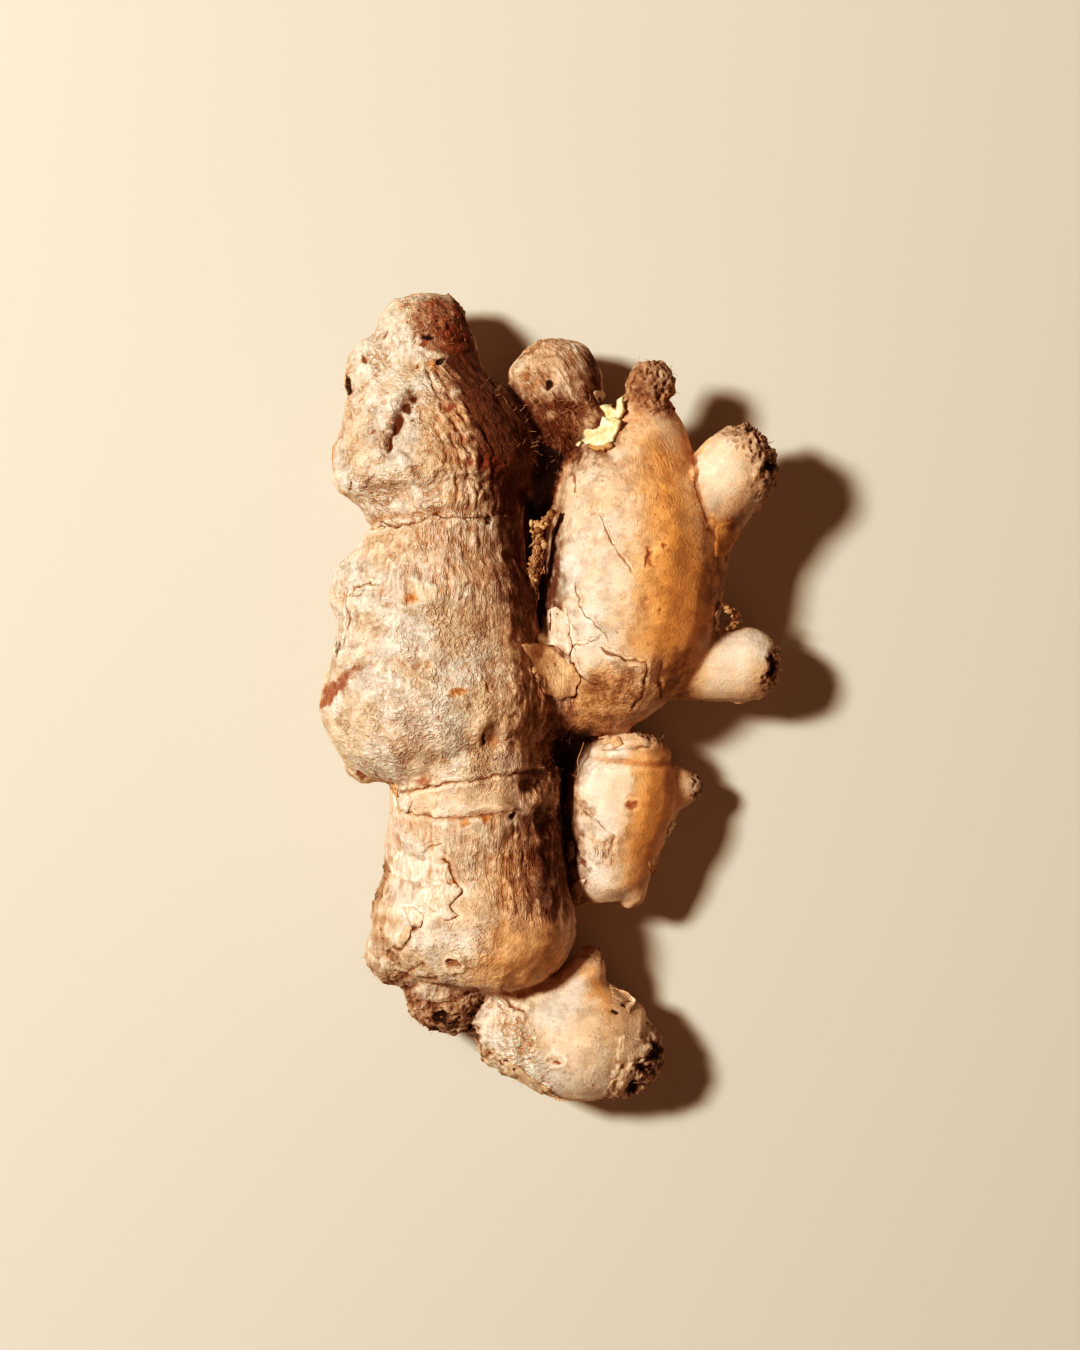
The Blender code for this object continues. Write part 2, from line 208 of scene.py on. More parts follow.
# %% Limbs: height over width, then stations (x, y, z, radius)
LIMBS = {
    "crown_tip": (0.90, [
        (-23.0, 80.8, 15.6, 1.6), (-23.2, 79.6, 15.6, 4.6), (-23.8, 77.4, 15.8, 7.4),
        (-24.8, 74.6, 16.2, 9.2), (-25.2, 71.2, 16.8, 10.0), (-25.0, 67.0, 17.2, 10.2),
        (-24.4, 61.5, 17.8, 10.0),
    ]),
    "crown": (0.84, [
        (-25.4, 71.8, 17.4, 6.6), (-25.4, 70.2, 17.4, 9.8), (-25.4, 67.0, 17.4, 11.0),
        (-25.3, 63.6, 17.4, 13.0), (-25.1, 59.6, 17.4, 16.6), (-24.2, 54.6, 17.4, 19.0),
        (-23.0, 49.6, 17.4, 20.9), (-22.4, 45.6, 17.4, 21.2), (-22.0, 42.4, 17.4, 19.4),
        (-21.8, 39.4, 17.6, 16.6), (-21.6, 35.6, 18.0, 14.6), (-21.6, 30.0, 18.6, 14.2),
    ]),
    "trunk": (0.82, [
        (-21.6, 35.0, 18.6, 14.2), (-21.8, 30.6, 18.8, 14.8), (-22.2, 26.6, 19.6, 17.4),
        (-22.6, 20.6, 20.4, 19.8), (-22.6, 13.6, 20.6, 20.2), (-22.6, 7.0, 20.6, 21.2),
        (-22.6, 2.6, 20.6, 22.6), (-22.4, -2.2, 20.6, 23.2), (-22.0, -6.4, 20.6, 22.2),
        (-21.6, -9.8, 20.5, 19.6), (-21.2, -12.6, 20.4, 15.8), (-20.9, -15.2, 20.2, 11.6),
        (-20.8, -17.4, 20.0, 6.0),
    ]),
    "spine": (1.10, [
        (-20.6, 50.0, 17.0, 13.0), (-20.4, 40.0, 17.2, 14.6), (-20.2, 30.0, 17.6, 14.8),
        (-19.2, 18.0, 18.2, 15.2), (-17.6, 0.0, 18.4, 15.6), (-16.4, -12.0, 18.0, 15.6),
        (-15.4, -24.0, 17.4, 15.2), (-15.4, -36.0, 16.8, 14.0),
    ]),
    "heel": (0.84, [
        (-14.8, -10.0, 17.4, 12.0), (-14.8, -15.6, 17.4, 16.4), (-14.9, -22.8, 17.4, 17.1),
        (-15.0, -29.4, 17.3, 17.9), (-15.0, -35.6, 17.2, 18.4), (-15.1, -41.4, 17.1, 20.2),
        (-15.4, -46.6, 17.0, 20.8), (-15.8, -51.0, 16.8, 19.0), (-16.2, -54.6, 16.6, 15.6),
        (-16.5, -57.2, 16.4, 11.0), (-16.7, -58.8, 16.4, 6.0),
    ]),
    "heel_knob": (0.90, [
        (-20.8, -53.0, 13.6, 10.4), (-20.8, -57.4, 12.8, 9.4), (-20.4, -61.4, 12.0, 7.6),
        (-19.8, -64.6, 11.4, 5.4), (-19.4, -66.8, 11.0, 2.8),
    ]),
    "palm": (0.90, [
        (21.2, 66.2, 21.6, 3.2), (20.8, 63.8, 21.4, 4.3), (20.2, 60.6, 21.0, 4.7),
        (19.7, 57.0, 20.0, 5.8), (19.6, 53.4, 19.0, 8.2), (19.0, 50.0, 18.0, 11.0),
        (18.2, 45.6, 16.8, 14.2), (18.0, 40.0, 16.2, 16.4), (18.2, 33.6, 16.0, 18.0),
        (18.0, 27.0, 16.0, 18.5), (17.2, 20.6, 16.0, 18.4), (16.0, 14.0, 16.2, 17.8),
        (14.4, 8.0, 16.4, 15.8), (13.0, 2.4, 16.6, 12.6), (12.2, -2.4, 16.4, 9.0),
        (12.0, -6.4, 15.8, 4.0),
    ]),
    "palm_bud_high": (1.0, [
        (23.0, 28.0, 17.0, 10.0), (29.6, 35.4, 18.0, 9.2), (34.6, 41.2, 19.2, 8.2),
        (38.4, 45.8, 20.0, 8.1), (41.4, 48.8, 20.2, 6.8), (43.4, 50.8, 20.2, 3.8),
    ]),
    "palm_bud_low": (1.0, [
        (20.0, 8.0, 13.6, 9.4), (28.0, 7.2, 14.0, 7.8), (35.0, 6.6, 14.6, 7.2),
        (40.8, 6.4, 15.0, 7.2), (44.4, 6.0, 15.2, 5.6), (46.4, 5.8, 15.2, 2.6),
    ]),
    "thumb": (0.95, [
        (1.2, 71.6, 12.4, 3.2), (1.4, 70.0, 12.5, 6.4), (1.6, 66.6, 12.8, 8.9),
        (1.6, 62.4, 13.0, 9.7), (1.0, 57.4, 13.2, 9.6), (-0.6, 52.0, 13.4, 8.4),
        (-3.6, 47.0, 14.0, 8.0), (-8.0, 42.0, 15.0, 8.0),
    ]),
    "ring_finger": (1.0, [
        (17.0, -7.6, 13.0, 4.6), (16.9, -9.4, 12.9, 7.2), (16.7, -13.4, 12.7, 9.2),
        (16.0, -18.4, 12.4, 10.9), (14.9, -23.4, 12.2, 11.1), (13.5, -29.2, 12.0, 9.8),
        (12.8, -34.2, 12.0, 8.8), (12.8, -38.2, 11.8, 7.4), (13.4, -41.0, 11.6, 4.4),
    ]),
    "ring_bud_side": (1.0, [
        (18.0, -18.6, 11.6, 7.6), (24.0, -18.6, 10.8, 5.6), (28.4, -18.2, 10.4, 3.8),
        (31.0, -17.8, 10.2, 1.8),
    ]),
    "ring_bud_end": (1.0, [
        (14.0, -34.0, 12.6, 5.0), (16.6, -39.0, 12.8, 3.8), (17.4, -42.0, 12.8, 2.0),
    ]),
    "little_finger": (0.95, [
        (-13.6, -67.0, 13.4, 4.6), (-10.8, -66.6, 13.0, 7.6), (-6.4, -67.0, 12.6, 9.8),
        (-1.2, -67.8, 12.4, 11.4), (4.8, -68.8, 12.2, 12.4), (10.0, -70.0, 12.0, 12.0),
        (14.2, -71.2, 11.8, 10.2), (17.8, -72.6, 11.6, 7.8), (20.6, -73.4, 11.4, 5.0),
        (22.2, -73.8, 11.4, 2.4),
    ]),
    "little_bud": (1.0, [
        (4.0, -64.0, 13.0, 8.4), (7.0, -57.6, 13.8, 5.0), (8.6, -53.2, 14.2, 2.9),
        (9.0, -50.6, 14.4, 1.2),
    ]),
    "palm_neck": (0.95, [
        (-12.0, 4.0, 17.0, 12.0), (-3.0, 2.4, 16.2, 11.0), (5.0, 1.2, 15.8, 9.6),
        (12.0, 1.0, 15.8, 8.6),
    ]),
    "cleft_floor": (0.60, [
        (-6.0, 47.0, 10.6, 6.0), (-3.4, 41.0, 10.2, 8.2), (-2.6, 34.0, 10.0, 8.6),
        (-2.4, 25.0, 10.2, 8.6), (-2.0, 14.0, 11.0, 8.6),
    ]),
    "ring_neck": (0.85, [
        (14.0, -34.0, 10.0, 5.4), (6.0, -38.0, 9.8, 4.6), (-3.0, -39.0, 10.0, 5.6),
    ]),
    "ring_floor": (0.65, [
        (4.0, -4.0, 10.4, 6.4), (4.6, -12.0, 9.6, 6.0), (4.4, -21.0, 9.4, 5.6),
        (4.2, -31.0, 9.8, 5.2),
    ]),
    "little_neck": (0.9, [
        (-13.4, -53.0, 13.0, 6.6), (-8.6, -59.6, 12.2, 6.0), (-5.0, -65.0, 12.0, 7.0),
    ]),
}

# %% Swellings: centre (x, y, z) and the three half sizes
SWELLINGS = {
    "crown_shoulder": ((-35.2, 64.4, 17.2), (6.4, 7.6, 7.0)),
    "crown_side": ((-37.0, 56.0, 17.2), (5.0, 6.0, 6.0)),
    "crown_cheek": ((-37.6, 48.2, 17.0), (6.2, 6.8, 8.0)),
    "trunk_eye": ((-38.4, 20.6, 19.4), (6.0, 7.6, 7.0)),
    "trunk_elbow": ((-39.8, -2.0, 19.6), (6.6, 7.0, 8.0)),
    "trunk_corner": ((-34.2, -8.6, 18.8), (8.4, 8.2, 10.0)),
    "trunk_corner_tip": ((-37.0, -13.2, 17.6), (4.6, 4.0, 5.0)),
    "heel_corner": ((-30.6, -51.0, 15.6), (6.4, 7.0, 7.0)),
    "little_shoulder": ((10.8, -62.0, 12.6), (3.4, 4.2, 4.4)),
    "little_belly": ((5.4, -77.0, 11.6), (9.4, 4.4, 5.2)),
    "little_heel": ((-8.8, -71.2, 12.0), (4.8, 4.0, 4.6)),
    "torn_stub": ((9.8, 54.8, 17.6), (5.0, 3.4, 3.2)),
}
FEET = [(-21.0, 46.0), (-15.5, -42.0), (17.5, 24.0)]  # the low points that rest on the floor
FOOT_REACH = 11.0
FOOT_SINK = 0.6
PLUMP = 0.30  # what the smoothing takes off the round forms, given back
VOXEL = 0.75
SMOOTH_ROUNDS = 7

# %% Grow the tubes and melt them together


def limb_curve(name, flatness, stations):
    """A tapering tube through its stations, squeezed in height by flatness."""
    curve = bpy.data.curves.new(name, "CURVE")
    curve.dimensions = "3D"
    curve.resolution_u = 5
    curve.bevel_depth = MM
    curve.bevel_resolution = 6
    curve.use_fill_caps = True
    spline = curve.splines.new("BEZIER")
    spline.radius_interpolation = "CARDINAL"
    spline.bezier_points.add(len(stations) - 1)
    for point, (x, y, z, radius) in zip(spline.bezier_points, stations):
        point.co = Vector((x, y, z / flatness)) * MM
        point.radius = radius
        point.handle_left_type = "AUTO"
        point.handle_right_type = "AUTO"
    limb = add(name, curve)
    limb.scale = (1.0, 1.0, flatness)
    return limb


def swelling(name, centre, half_sizes):
    """An egg-shaped bulge in the skin."""
    shape = bmesh.new()
    bmesh.ops.create_uvsphere(shape, u_segments=24, v_segments=16, radius=MM)
    mesh = bpy.data.meshes.new(name)
    shape.to_mesh(mesh)
    shape.free()
    bulge = add(name, mesh)
    bulge.location = Vector(centre) * MM
    bulge.scale = half_sizes
    return bulge


def melted(guides):
    """One object whose skin wraps every guide; the guides are removed."""
    bpy.context.view_layer.update()
    pool = bmesh.new()
    for guide in guides:
        mesh = evaluated_mesh(guide)
        mesh.transform(guide.matrix_world)
        pool.from_mesh(mesh)
        bpy.data.meshes.remove(mesh)
        bpy.data.objects.remove(guide)
    bmesh.ops.remove_doubles(pool, verts=pool.verts, dist=1e-6)
    mesh = bpy.data.meshes.new("melt")
    pool.to_mesh(mesh)
    pool.free()
    melt = add("melt", mesh)
    remesh = melt.modifiers.new("melt", "REMESH")
    remesh.mode = "VOXEL"
    remesh.voxel_size = VOXEL * MM
    smooth = melt.modifiers.new("soften", "SMOOTH")
    smooth.factor = 0.5
    smooth.iterations = SMOOTH_ROUNDS
    return melt


def largest_shell(mesh):
    """Drops every loose shell but the largest, so no hollow stays inside."""
    count = len(mesh.vertices)
    ends = np.empty(len(mesh.edges) * 2, np.int64)
    mesh.edges.foreach_get("vertices", ends)
    ends = ends.reshape(-1, 2)
    label = np.arange(count)
    while True:
        lowest = label.copy()
        np.minimum.at(lowest, ends[:, 0], label[ends[:, 1]])
        np.minimum.at(lowest, ends[:, 1], label[ends[:, 0]])
        lowest = lowest[lowest]
        if (lowest == label).all():
            break
        label = lowest
    keep = np.bincount(label).argmax()
    shape = bmesh.new()
    shape.from_mesh(mesh)
    shape.verts.ensure_lookup_table()
    loose = [shape.verts[i] for i in np.flatnonzero(label != keep)]
    bmesh.ops.delete(shape, geom=loose, context="VERTS")
    shape.to_mesh(mesh)
    shape.free()


guides = [limb_curve(name, *limb) for name, limb in LIMBS.items()]
guides += [swelling(name, *egg) for name, egg in SWELLINGS.items()]
melt = melted(guides)
largest_shell(apply_modifiers(melt))
subdivide = melt.modifiers.new("finer", "SUBSURF")
subdivide.levels = subdivide.render_levels = 1
skin_mesh = evaluated_mesh(melt)
bpy.data.objects.remove(melt)
print("skin points to work with:", len(skin_mesh.vertices))

# %% [markdown]
# ## Reading the skin
# From here the skin is worked as arrays: where each point is, which way it faces, the pixel it shows
# at, how squarely the camera sees it and which limb it belongs to. `grain` is a second set of
# coordinates that follows the fibres: they run down the root, and fan out over the top joint.

# %% Skin arrays


def array_of(sequence, attribute, width):
    """One attribute of every item in a Blender sequence, as a table with width columns."""
    flat = np.empty(len(sequence) * width)
    sequence.foreach_get(attribute, flat)
    return flat.reshape(-1, width)


def centreline_samples(step=1.6):
    """Points along every limb's middle: place, radius, direction and limb number."""
    tables = []
    for number, (_, stations) in enumerate(LIMBS.values()):
        marks = np.array(stations)
        lengths = np.linalg.norm(np.diff(marks[:, :3], axis=0), axis=1)
        run = np.concatenate([[0.0], np.cumsum(lengths)])
        at = np.linspace(0.0, run[-1], max(2, int(run[-1] / step)))
        rows = np.stack([np.interp(at, run, marks[:, k]) for k in range(4)], axis=1)
        heading = np.gradient(rows[:, :3], axis=0)
        heading /= np.linalg.norm(heading, axis=1)[:, None]
        tables.append(np.column_stack([rows, heading, np.full(len(at), number)]))
    return np.concatenate(tables)


def owners(points, samples):
    """For each point, the centreline sample that is nearest for its limb's thickness."""
    spots = np.ascontiguousarray(points.T, np.float32)
    best = np.full(len(points), np.inf, np.float32)
    owner = np.zeros(len(points), np.int32)
    for number, (x, y, z, radius) in enumerate(samples[:, :4]):
        far = (spots[0] - x) ** 2 + (spots[1] - y) ** 2 + (spots[2] - z) ** 2
        far *= 1.0 / max(radius, 3.0) ** 2
        closer = far < best
        np.copyto(best, far, where=closer)
        np.copyto(owner, number, where=closer)
    return owner


def smooth_step(low, high, value):
    """0 below low, 1 above high, and a soft S between; low may be the larger one."""
    share = np.clip((value - low) / (high - low), 0.0, 1.0)
    return share * share * (3.0 - 2.0 * share)


def bell(gap, width):
    """1 where the gap is nought, fading on both sides over a width."""
    return np.exp(-(gap / width) ** 2)


def neighbour_average(values, rounds):
    """A table of values, averaged over the mesh's edges again and again."""
    for _ in range(rounds):
        total = np.empty_like(values)
        for k in range(values.shape[1]):
            total[:, k] = np.bincount(ends[:, 0], values[ends[:, 1], k], len(values))
            total[:, k] += np.bincount(ends[:, 1], values[ends[:, 0], k], len(values))
        values = total / degree[:, None]
    return values


LIMB_NUMBER = {name: number for number, name in enumerate(LIMBS)}
OLD_LIMBS = ("crown_tip", "crown", "trunk", "spine", "heel", "heel_knob", "thumb")
OLD_ROUNDS = 12  # of averaging, so that old skin turns into young skin softly
FAN_START = 47.0  # mm up the root, where the fibres begin to fan out
FAN_SOFTNESS = 3.0
FAN_SPREAD = 0.75

place = array_of(skin_mesh.vertices, "co", 3) / MM
outward = array_of(skin_mesh.vertex_normals, "vector", 3)
ends = array_of(skin_mesh.edges, "vertices", 2).astype(np.int64)
degree = np.bincount(ends.ravel(), minlength=len(place)).astype(float)
pixel = seen_at(place)
seen = smooth_step(0.0, 0.35, outward[:, 2])
hidden = 1.0 - seen
samples = centreline_samples()
limb_of = samples[owners(place, samples), 7].astype(int)
old_skin = np.isin(limb_of, [LIMB_NUMBER[name] for name in OLD_LIMBS]).astype(float)
old_skin = neighbour_average(old_skin[:, None], OLD_ROUNDS)[:, 0]
fan = FAN_SPREAD * np.logaddexp(0.0, (place[:, 1] - FAN_START) / FAN_SOFTNESS) * FAN_SOFTNESS
grain = place + np.stack([fan, 0 * fan, 0 * fan], axis=1)
print("points the camera sees:", int((seen > 0.5).sum()))

# %% [markdown]
# ## Noise
# Two seeded noises make all that is uneven. `noise_at` is soft gradient noise. `cells_at` scatters
# one seed in each cell of a grid and tells how far a point is from the nearest seed and from the
# second nearest; where the two are equal runs a net of lines, as in cracked crust.

# %% Seeded noise
CORNERS = np.array(list(itertools.product((0, 1), repeat=3)))
NEIGHBOURS = np.array(list(itertools.product((-1, 0, 1), repeat=3)))
HASH_STEPS = np.array((73856093, 19349663, 83492791))
DIRECTIONS = np.random.default_rng(11).normal(size=(1024, 3))
DIRECTIONS /= np.linalg.norm(DIRECTIONS, axis=1)[:, None]
SLOPES = np.ascontiguousarray(DIRECTIONS.T, np.float32)
JITTER = np.random.default_rng(12).random((1024, 3))


def slots_of(cells, seed):
    """A pseudo-random row of the tables above for each cell of the grid."""
    mixed = cells * HASH_STEPS
    return (mixed[:, 0] ^ mixed[:, 1] ^ mixed[:, 2] ^ (seed * 7919)) & 1023


def noise_at(points, spacing, seed):
    """Soft noise, from about -1 to 1, with lumps about spacing apart."""
    spot = (points / np.asarray(spacing, float) + seed * 3.7).T
    cell = np.floor(spot).astype(np.int64)
    part = (spot - cell).astype(np.float32)
    fade = part * part * part * (part * (part * 6.0 - 15.0) + 10.0)
    weights = (1.0 - fade, fade)
    parts = (part, part - 1.0)
    hashes = (cell * HASH_STEPS[:, None], (cell + 1) * HASH_STEPS[:, None])
    total = np.zeros(len(points), np.float32)
    for i, j, k in CORNERS:
        row = (hashes[i][0] ^ hashes[j][1] ^ hashes[k][2] ^ (seed * 7919)) & 1023
        slope = (SLOPES[0][row] * parts[i][0] + SLOPES[1][row] * parts[j][1]
                 + SLOPES[2][row] * parts[k][2])
        total += weights[i][0] * weights[j][1] * weights[k][2] * slope
    return total.astype(float) * 1.7


def noise_vectors(points, spacing, seeds):
    """Soft noise in as many directions as there are seeds."""
    return np.stack([noise_at(points, spacing, seed) for seed in seeds], axis=1)


def rough_noise(points, spacing, seed, rounds):
    """Noise on noise: each round is half as tall and half as wide as the last."""
    total = np.zeros(len(points))
    for level in range(rounds):
        share = 0.5 ** level
        total += share * noise_at(points, np.asarray(spacing) * share, seed + 5 * level)
    return total


def cells_at(points, spacing, seed):
    """Distance to the nearest and second nearest scattered seed, in cell widths."""
    spot = points / np.asarray(spacing, float) + seed * 3.7
    cell = np.floor(spot).astype(np.int64)
    near = np.full(len(points), 9.0)
    second = np.full(len(points), 9.0)
    for step in NEIGHBOURS:
        other = cell + step
        far = np.linalg.norm(spot - other - JITTER[slots_of(other, seed)], axis=1)
        second = np.minimum(second, np.maximum(near, far))
        near = np.minimum(near, far)
    return near, second


# %% [markdown]
# ## Marks on the skin
# A mark is drawn where the reference frame shows it, in pixels, and is sized in millimetres. Pits
# are ellipses, creases are lines and patches are outlines. Their edges wander with a little noise,
# because nothing on a root is straight. Each mark moves the skin and also tints it. A thin crack is
# finer than the mesh, so the mesh carries only how far each point is from it, and on which side: the
# material draws the line where that distance passes through nought, as sharp as you like.

# %% Tools for marks
WIDE_WANDER = (2.4, 2.4)  # spacing of the waves in mm, and how far they move an edge in pixels
FINE_WANDER = (0.9, 1.4)

relief = np.zeros(len(place))
TINTS = ("paper", "rust", "soot_and_shade", "honey_and_shade", "crust", "dry", "painted_shade", "wrinkle", "pebble", "hairy",
         "crack")
tint = {name: np.zeros(len(place)) for name in TINTS}
wander = noise_vectors(place, WIDE_WANDER[0], (21, 22)) * WIDE_WANDER[1]
wander += noise_vectors(place, FINE_WANDER[0], (23, 24)) * FINE_WANDER[1]
ragged = pixel + wander
broken = np.clip(0.75 + 0.9 * noise_at(place, 1.9, 26), 0.0, 1.2)


def stain(name, strength, where=slice(None)):
    """Raises one tint to a strength where the camera sees it, if that is more than it had."""
    tint[name][where] = np.maximum(tint[name][where], strength * seen[where])


def raise_tint(name, strength, where):
    """Raises one tint to a strength on every side of the root, if that is more than it had."""
    tint[name][where] = np.maximum(tint[name][where], strength)


def near_marks(marks, reach):
    """The skin points whose pixel lies within reach pixels of the marks' box."""
    marks = np.array(marks, float)
    inside = (pixel > marks.min(axis=0) - reach) & (pixel < marks.max(axis=0) + reach)
    return np.flatnonzero(inside.all(axis=1) & (seen > 0))


def ellipse_reach(spots, centre, half_sizes, degrees):
    """Distance from an ellipse's centre, as a share of its edge."""
    across = (spots - centre) * PIXEL
    angle = np.radians(degrees)
    u = across[:, 0] * np.cos(angle) - across[:, 1] * np.sin(angle)
    v = across[:, 0] * np.sin(angle) + across[:, 1] * np.cos(angle)
    return np.hypot(u / half_sizes[0], v / half_sizes[1])


def line_side(route, spots):
    """Signed millimetres from each spot to a line drawn in pixels, and how close it is to an end."""
    best = np.full(len(spots), 1e9)
    side = np.ones(len(spots))
    marks = np.array(route, float)
    for start, end in zip(marks, marks[1:]):
        run = end - start
        share = np.clip((spots - start) @ run / (run @ run), 0.0, 1.0)
        gap = spots - start - share[:, None] * run
        far = np.linalg.norm(gap, axis=1)
        closer = far < best
        best = np.where(closer, far, best)
        side = np.where(closer, np.sign(run[0] * gap[:, 1] - run[1] * gap[:, 0] + 1e-9), side)
    to_ends = [np.linalg.norm(spots - end, axis=1) for end in (marks[0], marks[-1])]
    return best * side * PIXEL, np.minimum(*to_ends) * PIXEL


def depth_inside(outline, spots):
    """Millimetres from each spot to an outline's edge: positive inside and negative outside."""
    inside = np.zeros(len(spots), bool)
    marks = np.array(outline, float)
    for (x0, y0), (x1, y1) in zip(marks, np.roll(marks, -1, axis=0)):
        crosses = (spots[:, 1] < y0) != (spots[:, 1] < y1)
        rise = y1 - y0 if y1 != y0 else 1e-9
        inside ^= crosses & (spots[:, 0] < x0 + (spots[:, 1] - y0) * (x1 - x0) / rise)
    edge = np.abs(line_side([*outline, outline[0]], spots)[0])
    return np.where(inside, edge, -edge)
